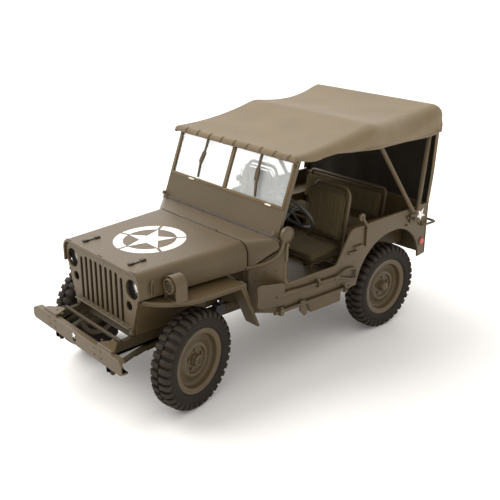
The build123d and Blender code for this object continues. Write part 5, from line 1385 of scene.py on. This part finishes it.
class MODEL_OT_windscreen(bpy.types.Operator):
    """Model the panes' frames, the clips, the wipers and the rubber strip of the windscreen"""
    bl_idname = "model.windscreen"
    bl_label = "Windscreen"

    def execute(self, context):
        lean, rise = SCREEN_UP
        foot = Vector(on_screen(0, 0))
        outward = Vector(on_screen(0, 0, 1)) - foot
        frames = []
        for side in SIDES:
            path = [(on_screen(side * y, up), Vector(on_screen(side * over, climb)) - foot, outward)
                    for y, up, over, climb in PANE_CORNERS]
            frames.append(swept_piece("pane_frame", path, PANE_OUTLINE, cyclic=True))
        # Pane frames in paler olive: rubbed paint with a painted highlight
        fit(frames, "pane_frames", finish="rubbed_and_highlit_paint")
        clips = [screen_bar("clip", (y - length / 2, up), (y + length / 2, up), (0.7, 0.7), 0.2, 0.35)
                 for y, up, length in CLIPS]
        fit(clips, "screen_clips", finish="bright_clip")
        bars = []
        for ends in WIPERS:
            for sizes, first, last in zip(WIPER_BARS, ends, ends[1:]):
                bars.append(screen_bar("bar", first, last, *sizes))
            y, up = ends[0]
            bars.append(hex_bolts("spindle", [(on_screen(y, up - 0.6, 0.3), (rise, 0, -lean))], 0.8, 1.0))
        fit(bars, "wiper_arms", "black_plastic", finish="wiper_paint")
        x, half, z = SEAL_PLACE
        straight = [((x, half * (2 * step / SEAL_STEPS - 1), z), (lean, 0, rise), (rise, 0, -lean))
                    for step in range(SEAL_STEPS + 1)]
        right, left = [[(sided(spot, side), across, sided(up, side)) for spot, across, up in SEAL_END]
                       for side in (-1, 1)]
        seal = swept_piece("screen_seal", right + straight + left[::-1], SEAL_OUTLINE)
        fit([seal], "screen_seal", "black_plastic", finish="grey_rubber")
        spots = [(on_screen(72 * step / (SEAL_RIVETS - 1) - 36, 0.1, 0.6), (0.9, 0, 0.35))
                 for step in range(SEAL_RIVETS)]
        fit([rivets("rivets", spots, 0.42)], "seal_rivets")
        pivots = [(sided(SCREEN_PIVOT, side), (1, 0, 0.4)) for side in SIDES]
        fit([hex_bolts("pivots", pivots, 1.0, 0.8)], "screen_pivots")
        return {"FINISHED"}


# Lamps

HEADLAMP = (77.5, 21.9, 50.3)
MARKER = (77.5, 19.6, 43.0)
DRIVING_LAMP = (70.7, 33.2, 53.0)
REFLECTOR = (-72.6, 40.6, 38.9)
TAIL_LAMP = (-75.9, 35.5, 41.5)
# Outlines of the round parts: along their axis, and out from it. Closed ones run round, the others to the
# axis.
LAMP_SHELL = ((-4.4, 0.001), (-4.4, 1.35), (-3.1, 2.7), (-1.2, 4.4), (-0.1, 4.5), (-0.05, 4.1), (-1.6, 3.95),
              (-2.1, 3.6), (-4.0, 1.3), (-4.0, 0.001))
LAMP_BOWL = ((-1.7, 3.85), (-1.75, 3.5), (-2.5, 2.95), (-3.2, 2.0), (-3.6, 0.9), (-3.65, 0.001),
             (-3.85, 0.001), (-3.8, 0.95), (-3.3, 2.15), (-2.3, 3.4), (-1.85, 3.85))
LAMP_BULB = ((-3.6, 0.001), (-3.6, 0.5), (-2.5, 0.6), (-2.2, 0.35), (-2.1, 0.001))
LAMP_LENS = ((-1.55, 0.001), (-1.6, 2.0), (-1.75, 3.7), (-1.6, 3.85), (-1.5, 3.7), (-1.3, 2.0), (-1.2, 0.001))
MARKER_LENS = ((-2.0, 0.001), (-2.0, 2.2), (-0.05, 2.2), (-0.05, 1.85), (-1.0, 1.75), (-0.8, 1.0),
               (-0.7, 0.001))
DRIVING_LENS = ((-0.75, 0.001), (-0.75, 2.35), (-0.5, 2.3), (-0.3, 1.2), (-0.2, 0.001))
DRIVING_RING = ((-0.35, 0.9), (-0.1, 0.9), (0.0, 1.1), (0.0, 1.5), (-0.35, 1.7))
REFLECTOR_GLASS = ((0.0, 0.001), (0.0, 1.7), (0.3, 1.75), (0.45, 1.45), (0.6, 1.4), (0.62, 1.1), (0.8, 1.0),
                   (0.9, 0.001))
REFLECTOR_RIM = ((0.0, 1.7), (0.0, 1.95), (0.4, 1.95), (0.5, 1.75), (0.35, 1.65))
TAIL_BODY = ((-0.1, 0.001), (-0.1, 1.1), (0.3, 1.75), (1.5, 1.8), (1.8, 1.7), (1.8, 1.45), (1.3, 1.4),
             (1.3, 0.001))
TAIL_LENS = ((1.25, 0.001), (1.25, 1.38), (1.5, 1.3), (1.7, 0.7), (1.75, 0.001))


# Pieces of the lamps: name, slot, CAD nodes that it stands for, finish, sides, and its round parts, each with
# outline, place and axis on the left side, steps, and whether the outline is closed
LAMPS = (
    # Headlamp shells: hollow near black as painted shade
    ("headlamp_shells", "lamp_chrome", ["front_lamps"], "painted_hole_shade", SIDES, (
        (LAMP_SHELL, HEADLAMP, AHEAD, 40, False),)),
    ("headlamp_reflectors", "lamp_chrome", ["front_lamps"], "lamp_chrome", SIDES, (
        (LAMP_BOWL, HEADLAMP, AHEAD, 40, True), (LAMP_BULB, HEADLAMP, AHEAD, 16, False))),
    ("headlamp_lenses", "clear", [], "lamp_glass", SIDES, (
        (LAMP_LENS, HEADLAMP, AHEAD, 40, False),)),
    # Marker lamps: hollow near black as painted shade
    ("marker_lamps", "lamp_chrome", ["front_lamps"], "painted_hole_shade", SIDES, (
        (MARKER_LENS, MARKER, AHEAD, 28, False),)),
    ("driving_lamp_lens", "olive_paint", [], "dark_paint", SIDES[:1], (
        (DRIVING_LENS, DRIVING_LAMP, AHEAD, 28, False), (DRIVING_RING, DRIVING_LAMP, AHEAD, 28, True))),
    ("red_lenses", "red_plastic", ["tail_lamps"], "red_plastic", SIDES, (
        (REFLECTOR_GLASS, REFLECTOR, LEFTWARD, 28, False), (TAIL_LENS, TAIL_LAMP, BEHIND, 28, False))),
    ("tail_lamp_bodies", "olive_paint", ["tail_lamps"], "olive_paint", SIDES, (
        (REFLECTOR_RIM, REFLECTOR, LEFTWARD, 28, True), (TAIL_BODY, TAIL_LAMP, BEHIND, 28, False))),
)


class MODEL_OT_lamps(bpy.types.Operator):
    """Model the headlamps, markers, driving lamp, tail lamps and reflectors"""
    bl_idname = "model.lamps"
    bl_label = "Lamps"

    def execute(self, context):
        for name, slot, nodes, finish, sides, parts in LAMPS:
            rounds = [turned_piece("round", outline, sided(spot, side), sided(axis, side), steps, closed)
                      for side in sides for outline, spot, axis, steps, closed in parts]
            fit(rounds, name, slot, *nodes, finish=finish)
        return {"FINISHED"}


# Trims of the nose

# Fender edge in plan: where its round nose starts, passes and ends, and the bend and foot of the rear leg
NOSE_START, NOSE_MIDDLE, NOSE_END = (77.7, 25.6), (70.86, 33.79), (58.7, 38.6)
NOSE_STEPS = 12
FENDER_BEND = (38.0, 38.6)
FENDER_FOOT = (30.0, 38.6, 25.9)
# Height and radius of the beads along a fender's lower and upper edge
LOWER_BEAD = (45.2, 0.34)
UPPER_BEAD = (46.55, 0.22)
# Splash apron inside a fender: along the car and up, and the slanted shield behind it: low and high, each end
APRON_WALL = ((36.9, 31.6), (36.9, 39.3), (41.4, 39.3), (41.4, 45.3), (62.0, 45.3), (62.0, 40.0),
              (56.0, 34.9), (56.0, 31.6))
APRON_Y, APRON_THICKNESS = 20.25, 0.35
APRON_SHIELD = ((36.9, 20.3, 33.4), (33.3, 29.8, 33.4), (33.3, 29.8, 39.3), (36.9, 20.3, 39.3))
# Rests for the folded screen on the bonnet: from and to along the car, half width, and height
SCREEN_REST_Y = 16.6
SCREEN_RESTS = ((69.0, 76.7, 0.55, 0.4), (69.0, 71.2, 0.8, 0.75), (74.5, 76.7, 0.8, 0.75))
# Side catch of the bonnet: its wire loop and its base between two corners
CATCH_LOOP = ((74.2, 28.8, 49.4), (74.2, 29.6, 50.5), (74.3, 29.7, 53.6), (74.8, 29.5, 55.6),
              (75.4, 29.7, 53.6), (75.4, 29.6, 50.5), (75.4, 28.8, 49.4))
CATCH_BASE = ((73.9, 28.1, 49.3), (75.7, 28.75, 53.0))
CATCH_COILS = 18
HINGE = (29.95, 11.4, 59.75)
HINGE_KNUCKLES = 10
# Slots of the bonnet's front edge, thin near-black plates as painted shade: their rear and front line along
# the car and up; and across, half width
SLOT_EDGES = ((79.3, 57.86), (79.8, 57.78))
LATCH_SLOTS = ((-23.3, 1.9), (0.9, 1.5), (23.3, 1.9))
GRILLE_RIVETS = 9
GRILLE_RIVET_PITCH = 3.68
# Rivets on the grille's face and the bumper's bolts on its top and face, for one side
GRILLE_FACE_RIVETS = ((79.2, 24.9, 44.6), (79.2, 22.0, 36.0))
BUMPER_TOP_BOLTS = ((89.2, 15.2, 30.35), (89.2, 19.8, 30.35))
BUMPER_FACE_BOLTS = ((92.95, 15.2, 25.4), (92.95, 15.2, 28.4), (92.95, 19.8, 25.4), (92.95, 19.8, 28.4))


def arc_through(start, middle, end, steps):
    """Points of the round arc through three points in a plane."""
    start, middle, end = Vector(start), Vector(middle), Vector(end)
    first, second = middle - start, end - middle
    turn = first.x * second.y - first.y * second.x
    between = second.dot(end - start) / (2 * turn)
    centre = (start + middle) / 2 + Vector((-first.y, first.x)) * between
    arm = start - centre
    sweep = (end - centre).angle_signed(arm)
    turns = [sweep * step / steps for step in range(steps + 1)]
    return [centre + Vector((arm.x * cos(turn) - arm.y * sin(turn), arm.x * sin(turn) + arm.y * cos(turn)))
            for turn in turns]


class MODEL_OT_nose(bpy.types.Operator):
    """Model the bonnet's strips, hinge and catches, the fender beads, and rivets and bolts of the nose"""
    bl_idname = "model.nose"
    bl_label = "Nose"

    def execute(self, context):
        self.fenders()
        self.bonnet()
        # Thin near-black plates as painted shade in the latch slots
        slots = []
        for y, half in LATCH_SLOTS:
            (back, back_z), (front, front_z) = SLOT_EDGES
            corners = [(back, y - half, back_z), (front, y - half, front_z),
                       (front, y + half, front_z), (back, y + half, back_z)]
            slots.append(outline_piece("slot", corners, (0, 0, 0.03)))
        fit(slots, "latch_slots", finish="painted_hole_shade", body="bonnet")
        half = (GRILLE_RIVETS - 1) / 2
        places = [(80.0, (index - half) * GRILLE_RIVET_PITCH, 33.95) for index in range(GRILLE_RIVETS)]
        spots = [(spot, UP) for spot in places] + both_sides(GRILLE_FACE_RIVETS, AHEAD)
        # Grille rivets in paler olive: rubbed paint with a painted highlight
        fit([rivets("rivets", spots, 0.5)], "grille_rivets", finish="rubbed_and_highlit_paint")
        spots = both_sides(BUMPER_TOP_BOLTS, UP) + both_sides(BUMPER_FACE_BOLTS, AHEAD)
        fit([rivets("bolts", spots, 0.5)], "bumper_bolts")
        return {"FINISHED"}

    def fenders(self):
        """Rolled edges of the fenders and the splash aprons inside them."""
        beads, aprons = [], []
        arc = arc_through(NOSE_START, NOSE_MIDDLE, NOSE_END, NOSE_STEPS)
        for side in SIDES:
            for (height, radius), inset, ends in (
                    (LOWER_BEAD, 0.0, ((*FENDER_BEND, LOWER_BEAD[0]), FENDER_FOOT)),
                    (UPPER_BEAD, 0.1, ((FENDER_BEND[0] - 0.5, FENDER_BEND[1], UPPER_BEAD[0]),))):
                edge = [(point.x - 0.05 - inset, side * (point.y - 0.05), height) for point in arc]
                edge += [sided(end, side) for end in ends]
                beads.append(tube_piece("bead", edge, radius, round_path=False, sides=3))
            aprons.append(outline_piece("wall", [(x, side * APRON_Y, z) for x, z in APRON_WALL],
                                        (0, side * APRON_THICKNESS, 0)))
            aprons.append(outline_piece("shield", [sided(spot, side) for spot in APRON_SHIELD],
                                        (-APRON_THICKNESS, 0, 0)))
        fit(beads, "fender_beads")
        place(round_edges(join(aprons, "splash_aprons"), 0.1, 1), CHASSIS, "chassis_paint")

    def bonnet(self):
        """Rests for the folded screen, side catches and the hinge."""
        rests, catches = [], []
        for side in SIDES:
            for low, high, width, rise in SCREEN_RESTS:
                y = side * SCREEN_REST_Y
                rest = box_piece("rest", (low, y - width, -0.1), (high, y + width, rise), 0.12, 1)
                for vertex in rest.data.vertices:
                    vertex.co.z += bonnet_top(vertex.co.x / MM) * MM
                rests.append(rest)
            (low_x, near, low_z), (high_x, far, high_z) = CATCH_BASE
            near, far = sorted((side * near, side * far))
            catches.append(box_piece("base", (low_x, near, low_z), (high_x, far, high_z), 0.2, 2))
            catches.append(tube_piece("loop", [sided(spot, side) for spot in CATCH_LOOP], 0.28, 5, sides=3))
            coils = [(74.8 + 0.45 * cos(pi * k / 2), side * (29.2 + 0.35 * sin(pi * k / 2)), 50.4 + 0.14 * k)
                     for k in range(CATCH_COILS)]
            catches.append(tube_piece("spring", coils, 0.12, 2, sides=2))
        fit(rests, "screen_rests", finish="dark_paint", body="bonnet")
        fit(catches, "bonnet_catches", body="bonnet")
        hinge = tube_piece("bonnet_hinge_tube", [sided(HINGE, -1), HINGE], 0.42, round_path=False, sides=4)
        edit(hinge)
        bpy.ops.mesh.subdivide(number_cuts=HINGE_KNUCKLES)
        bpy.ops.object.mode_set(mode="OBJECT")
        place(hinge, CHASSIS, "olive_paint", finish="dark_paint")


# Trims of the sides

# Door edge and top edge of a side: along the car and up, for a line that rounds its corners
DOOR_EDGE = ((17.8, 61.0), (17.8, 46.5), (17.8, 41.2), (12.5, 41.2), (-8.8, 41.2), (-13.2, 41.2),
             (-15.6, 45.0), (-20.0, 52.1), (-22.3, 55.8), (-26.8, 55.95), (-50.0, 56.55), (-75.4, 57.2))
# Cowl's lower edge on the slanted side, and the tail edge of the tub
COWL_EDGE = ((30.6, 31.1, 48.9), (29.4, 31.5, 49.2), (27.2, 33.2, 49.7), (24.0, 36.1, 51.0),
             (21.0, 38.9, 53.6), (19.2, 40.4, 57.5), (18.7, 40.7, 61.0))
TAIL_EDGE = ((-75.6, 40.5, 57.2), (-75.6, 40.5, 32.2))
# Heads on a flat side, along the car and up, and on the slanted side
SIDE_RIVETS = ((-23.4, 53.3), (-21.6, 50.4), (-19.9, 47.6), (-18.2, 44.8), (-16.4, 42.0), (-25.4, 40.2),
               (-24.6, 37.3), (15.6, 44.8), (15.6, 49.2), (15.9, 38.4), (2.6, 38.6), (-8.5, 38.4))
FLARE_RIVETS = ((27.4, 33.2, 46.6), (24.2, 36.0, 47.0), (21.0, 38.7, 47.4), (27.4, 33.2, 43.0))
# Bolts of the bow bracket and of the grab handle
BRACKET_BOLTS = ((-66.0, 41.0, 54.2), (-62.8, 41.0, 54.2), (-60.4, 41.0, 53.4), (-60.2, 41.0, 49.6),
                 (-69.6, 40.6, 48.4), (-71.8, 40.6, 48.4))
# Loops for straps: along the car, up, and length; and their line: share of the length, and across the car
STRAP_LOOPS = ((-22.8, 45.4, 4.6), (-26.4, 47.4, 5.0))
STRAP_LOOP = ((-0.5, 40.5), (-0.5, 41.3), (0.5, 41.3), (0.5, 40.5))
# Wing nut on the bow bracket: its two wings' middle, how far they stand apart, and their outline
WING_NUT = (-64.4, 43.5, 52.0)
WING_APART = (1.25, 0.5)
WING = ((-0.3, 0.001), (-0.3, 0.75), (0.0, 0.95), (0.3, 0.75), (0.3, 0.001))
# Mirror: along the car and up, its nut's, and the outlines of its rim and back
MIRROR, MIRROR_NUT = (17.8, 63.2), (17.9, 59.0)
MIRROR_RIM = ((0.9, 3.0), (0.9, 3.3), (1.1, 3.35), (1.2, 3.15), (1.1, 2.95))
MIRROR_BACK = ((0.85, 0.001), (0.85, 3.0), (1.0, 2.8), (1.15, 1.4), (1.2, 0.001))


class MODEL_OT_sides(bpy.types.Operator):
    """Model the rolled edges, rivets, brackets and loops of the sides"""
    bl_idname = "model.sides"
    bl_label = "Sides"

    def execute(self, context):
        edges, loops = [], []
        for side in SIDES:
            door = [(x, side * 40.45, z) for x, z in DOOR_EDGE]
            edges.append(tube_piece("edge", door, 0.68, 8, sides=4))
            edges.append(tube_piece("edge", [sided(spot, side) for spot in COWL_EDGE], 0.85, 6, sides=4))
            tail = [sided(spot, side) for spot in TAIL_EDGE]
            edges.append(tube_piece("edge", tail, 0.38, round_path=False, sides=3))
            for x, z, length in STRAP_LOOPS:
                ends = [(x + length * end, side * y, z) for end, y in STRAP_LOOP]
                loops.append(tube_piece("loop", ends, 0.58, round_path=False, sides=3))
            for lobe in SIDES:
                x, y, z = WING_NUT
                spot = (x + lobe * WING_APART[0], side * y, z + lobe * WING_APART[1])
                loops.append(turned_piece("wing", WING, spot, (0.2, side, 0.1), 16, closed=False))
        fit(edges, "rolled_edges", finish="worn_edge")
        heads = both_sides([(x, 40.58, z) for x, z in SIDE_RIVETS], LEFTWARD)
        heads += both_sides(FLARE_RIVETS, (0.65, 0.76, 0))
        fit([rivets("heads", heads, 0.42)], "side_rivets")
        fit([hex_bolts("bolts", both_sides(BRACKET_BOLTS, LEFTWARD), 0.62, 0.5)], "bracket_bolts")
        fit(loops, "strap_loops")
        y = node_box("mirror")[0].y
        (x, z), (nut_x, nut_z) = MIRROR, MIRROR_NUT
        rim = turned_piece("rim", MIRROR_RIM, (x, y, z), LEFTWARD, 40)
        back = turned_piece("back", MIRROR_BACK, (x, y, z), LEFTWARD, 40, closed=False)
        nut = hex_bolts("nut", [((nut_x, y + 0.9, nut_z), (0, 1, 0))], 0.8, 0.6)
        fit([rim, back, nut], "mirror_face")
        return {"FINISHED"}


# Tools and what hangs on the tail

# Shovel: its blade's start and length, its lower and upper edge at the handle, and how they rise along it
BLADE_X, BLADE_LENGTH, BLADE_LOW, BLADE_HIGH, BLADE_RISE = 19.0, 14.7, 32.8, 42.7, (2.5, 2.6)
TOOL_Y = 41.65
SHOVEL_HANDLE = ((21.5, 41.7, 38.0), (10, 41.65, 37.5), (0, 41.65, 37.1), (-12.6, 41.65, 36.6))
SHOVEL_AXIS = (1, 0, 0.033)
SOCKET = ((0, 0.7), (0, 0.92), (8, 1.08), (11.5, 0.8), (11.5, 0.6))
FERRULE = ((0, 0.7), (0, 0.95), (2.5, 0.95), (2.5, 0.7))
SHOVEL_GRIP = ((-12.4, 36.6), (-14.6, 37.3), (-18.0, 38.9), (-23.5, 38.1), (-25.0, 37.4), (-25.0, 35.4),
               (-25.0, 33.2), (-23.5, 33.0), (-18.0, 34.4), (-14.6, 35.9), (-12.4, 36.6))
# Straps round the tools: along the car and up, their radius, and their band's outline
TOOL_STRAPS = ((20.4, 30.4), (-17.8, 30.1), (-0.9, 37.1))
STRAP_RADIUS = (1.6 * 0.72, 1.6)
STRAP_BAND = ((-0.55, 0.0), (0.55, 0.0), (0.55, 0.14), (-0.55, 0.14))


def shovel_blade(u, v):
    """Place on the shovel's dished blade, along it from the handle and up it."""
    round_end = max((u - 0.84) / 0.16, 0) ** 2 * 1.5 + max((0.08 - u) / 0.08, 0) ** 2 * 1.2
    low = BLADE_LOW + BLADE_RISE[0] * u + round_end
    high = BLADE_HIGH + BLADE_RISE[1] * u - round_end
    rib = max(1 - u / 0.4, 0) * max(1 - abs(v - 0.5) * 7, 0) * 0.5
    dish = (1 - (2 * v - 1) ** 2) * 0.45
    return BLADE_X + BLADE_LENGTH * u, 41.35 + dish + rib, low + (high - low) * v


class MODEL_OT_tools(bpy.types.Operator):
    """Model the shovel with its dished blade, and the tools' straps"""
    bl_idname = "model.tools"
    bl_label = "Tools"

    def execute(self, context):
        plate = smooth(thicken(grid_piece("blade", 22, 20, shovel_blade), 0.45, 0), 60)
        handle = tube_piece("handle", SHOVEL_HANDLE, 0.76, 8, sides=5)
        socket = turned_piece("socket", SOCKET, (12.0, TOOL_Y, 37.6), SHOVEL_AXIS, 24)
        ferrule = turned_piece("ferrule", FERRULE, (-13.4, TOOL_Y, 36.55), SHOVEL_AXIS, 24)
        grip = tube_piece("grip", [(x, 41.6, z) for x, z in SHOVEL_GRIP], 0.58, 6, sides=4)
        fit([plate, handle, socket, ferrule, grip], "shovel_dished", "tool_steel", "shovel")
        softened("axe", 0.22, 2, 40)
        straps = []
        for x, z in TOOL_STRAPS:
            path = []
            for k in range(20):
                out, up = cos(2 * pi * k / 20) * STRAP_RADIUS[0], sin(2 * pi * k / 20) * STRAP_RADIUS[1]
                path.append(((x, 41.7 + out, z + up), AHEAD, (0, out, up)))
            straps.append(swept_piece("strap", path, STRAP_BAND, cyclic=True))
            low, high = (x - 0.75, 42.6, z - 0.55), (x + 0.75, 43.0, z + 0.55)
            straps.append(box_piece("buckle", low, high, 0.12, 1))
        fit(straps, "tool_straps", finish="hem_canvas")
        return {"FINISHED"}


# Fuel can: how far its body's top is below its handles' top, its ribs' ends from their middle, the places
# of its handles along the car from its front, its cap's outline, and its strap
CAN_SHOULDER = 2.4
CAN_RIB = ((1.2, 1.6), (7.2, 7.6))
CAN_HANDLES = (2.0, 4.5, 7.0)
CAN_CAP = ((-0.3, 0.001), (-0.3, 1.7), (1.2, 1.7), (1.5, 1.4), (1.6, 0.001))
CAN_STRAP_ENDS = ((-86.35, 11.2, 46), (-86.35, 30.8, 46))
CAN_STRAP = ((-0.8, -0.2), (0.8, -0.2), (0.8, 0.15), (-0.8, 0.15))
TAIL_RIVETS = [(-75.9, y, z) for y in (31.0, 37.5) for z in (34.5, 46.0, 54.5)]


class MODEL_OT_tail(bpy.types.Operator):
    """Model the fuel can with its ribs, handles and cap, and fittings of the tail"""
    bl_idname = "model.tail"
    bl_label = "Tail"

    def execute(self, context):
        low, high = node_box("jerry_can")
        top, middle_x = high.z - CAN_SHOULDER, low.x + 4.5
        pieces = [box_piece("body", low, (high.x, high.y, top), 1.5, 4)]
        middle_y, middle_z = (low.y + high.y) / 2, (low.z + top) / 2 + 1.0
        for turn in SIDES:
            for end in SIDES:
                rib = [(low.x - 0.02, middle_y + end * turn * y, middle_z + end * z) for y, z in CAN_RIB]
                pieces.append(tube_piece("rib", rib, 0.34, round_path=False, sides=3))
        seam = [(low.y - 0.02, low.z + 1), (low.y - 0.02, top - 1.2), (low.y + 1.2, top + 0.02),
                (high.y - 1.2, top + 0.02), (high.y + 0.02, top - 1.2), (high.y + 0.02, low.z + 1)]
        pieces.append(tube_piece("seam", [(middle_x, y, z) for y, z in seam], 0.2, round_path=False, sides=3))
        grip = ((2.0, top - 0.4), (2.4, high.z - 0.6), (5.0, high.z - 0.5), (9.5, high.z - 0.5),
                (12.2, high.z - 0.6), (12.6, top - 0.4))
        for x in CAN_HANDLES:
            line = [(low.x + x, low.y + y, z) for y, z in grip]
            pieces.append(tube_piece("handle", line, 0.42, 6, sides=3))
        pieces.append(turned_piece("cap", CAN_CAP, (middle_x, high.y - 3.4, top), UP, 28, closed=False))
        pieces.append(box_piece("lever", (middle_x - 0.6, high.y - 5.6, top + 1.5),
                                (middle_x + 0.6, high.y - 1.6, top + 2.1), 0.15, 1))
        fit(pieces, "fuel_can", "olive_paint", "jerry_can")
        fit([rivets("rivets", both_sides(TAIL_RIVETS, BEHIND), 0.5)], "tail_rivets")
        path = [(end, UP, BEHIND) for end in CAN_STRAP_ENDS]
        fit([swept_piece("strap", path, CAN_STRAP)], "can_strap", finish="hem_canvas")
        return {"FINISHED"}


# Cab

# Middle of the steering wheel and its axis, the radius of its rim's middle, and of the rim's bar
WHEEL_MIDDLE, WHEEL_AXIS = (-3.0, 22.0, 64.3), (-0.7818, 0, 0.6235)
WHEEL_RADIUS, WHEEL_BAR = 11.38, 0.72
WHEEL_HUB = ((-1.2, 0.001), (-1.2, 1.3), (-0.2, 1.75), (0.35, 1.7), (0.6, 1.2), (0.6, 0.8), (1.0, 0.75),
             (1.1, 0.001))
SPOKES = 3
# Gauges: across the car, height, and radius
GAUGES = ((3.0, 57.0, 2.3), (-2.6, 57.6, 1.3), (-2.6, 54.4, 1.3), (8.6, 57.6, 1.3), (8.6, 54.4, 1.3))
DASH_X, DASH_HALF, DASH_FOOT, DASH_HEIGHT = 19.9, 37.6, 50.8, 9.6
DASH_PLATES = (-30, -23.5, -17)


class MODEL_OT_cab(bpy.types.Operator):
    """Model the steering wheel, and the dash with its gauges and plates"""
    bl_idname = "model.cab"
    bl_label = "Cab"

    def execute(self, context):
        self.wheel()
        dash = grid_piece("dash", 40, 8, lambda u, v: (
            DASH_X + 0.5 * (1 - v) ** 2, (2 * u - 1) * DASH_HALF, DASH_FOOT + DASH_HEIGHT * v))
        fit([smooth(thicken(dash, 0.5, 0), 50)], "dash")
        bezels, faces, needles = [], [], []
        for y, z, radius in GAUGES:
            spot = (DASH_X, y, z)
            bezel = ((0.0, radius - 0.25), (0.0, radius), (0.45, radius - 0.05), (0.5, radius - 0.25))
            bezels.append(turned_piece("bezel", bezel, spot, BEHIND, 28))
            face = ((0.1, 0.001), (0.1, radius - 0.2), (0.3, radius - 0.25), (0.3, 0.001))
            faces.append(turned_piece("face", face, spot, BEHIND, 28, closed=False))
            needle = ((DASH_X - 0.35, y, z), (DASH_X - 0.35, y + radius * 0.4, z + radius * 0.5))
            needles.append(tube_piece("needle", needle, 0.07, round_path=False, sides=2))
        fit(bezels, "gauge_bezels", "lamp_chrome", finish="bright_clip")
        fit(faces, "gauge_faces", "black_plastic")
        fit(needles, "gauge_needles", finish="white_marking")
        plates = [box_piece("plate", (DASH_X - 0.6, y - 2.2, 53.6), (DASH_X - 0.15, y + 2.2, 56.6), 0.1, 1)
                  for y in DASH_PLATES]
        fit(plates, "dash_plates", finish="dark_paint")
        return {"FINISHED"}

    def wheel(self):
        """Steering wheel with its hub and pairs of wire spokes."""
        middle, along = Vector(WHEEL_MIDDLE), Vector(WHEEL_AXIS)
        outline = [(cos(pi * k / 7) * WHEEL_BAR, WHEEL_RADIUS + sin(pi * k / 7) * WHEEL_BAR)
                   for k in range(14)]
        pieces = [turned_piece("rim", outline, middle, along, 72),
                  turned_piece("hub", WHEEL_HUB, middle, along, 32, closed=False)]
        side = Vector(LEFTWARD)
        up = along.cross(side)
        for index in range(SPOKES):
            turn = pi / 2 + 2 * pi / SPOKES * index
            arm = side * cos(turn) + up * sin(turn)
            across = along.cross(arm)
            for gap in (-0.42, 0.42):
                path = (middle + arm * 1.2 + across * gap,
                        middle + arm * 6 - along * 0.35 + across * gap * 1.3,
                        middle + arm * 11.2 + across * gap * 1.2)
                pieces.append(tube_piece("spoke", path, 0.24, 4, sides=3))
        fit(pieces, "steering_wheel_rim", "black_plastic", "steering_wheel", body="steering_wheel")


class MODEL_PT_panel(bpy.types.Panel):
    """Steps that build the model's looks"""
    bl_idname = "MODEL_PT_panel"
    bl_label = "Army 4x4 car"
    bl_space_type = "VIEW_3D"
    bl_region_type = "UI"
    bl_category = "Model"

    def draw(self, context):
        for step in STEPS:
            self.layout.operator(step.bl_idname)
        for name, group in GROUPS:
            box = self.layout.box()
            for key in group.__annotations__:
                box.prop(getattr(context.scene, name), key)


STEPS = (
    MODEL_OT_finishes, MODEL_OT_stage, MODEL_OT_bodywork, MODEL_OT_tyres, MODEL_OT_rims, MODEL_OT_markings,
    MODEL_OT_soft_top, MODEL_OT_seats, MODEL_OT_windscreen, MODEL_OT_lamps, MODEL_OT_nose, MODEL_OT_sides,
    MODEL_OT_tools, MODEL_OT_tail, MODEL_OT_cab,
)
GROUPS = (
    ("model_colours", FinishColours), ("model_light", StageLight), ("model_tyres", TyreSizes),
    ("model_stars", StarSizes), ("model_top", SoftTop), ("model_seats", SeatSizes),
)


def register():
    """Add the classes and the scene's settings."""
    for name, group in GROUPS:
        bpy.utils.register_class(group)
        setattr(bpy.types.Scene, name, bpy.props.PointerProperty(type=group))
    for step in (*STEPS, MODEL_PT_panel):
        bpy.utils.register_class(step)


def unregister():
    """Take the classes and the settings out again."""
    for step in (MODEL_PT_panel, *reversed(STEPS)):
        bpy.utils.unregister_class(step)
    for name, group in reversed(GROUPS):
        delattr(bpy.types.Scene, name)
        bpy.utils.unregister_class(group)


def main():
    """Build the looks step by step."""
    register()
    for step in STEPS:
        group, name = step.bl_idname.split(".")
        getattr(getattr(bpy.ops, group), name)()


if __name__ == "__main__":
    main()
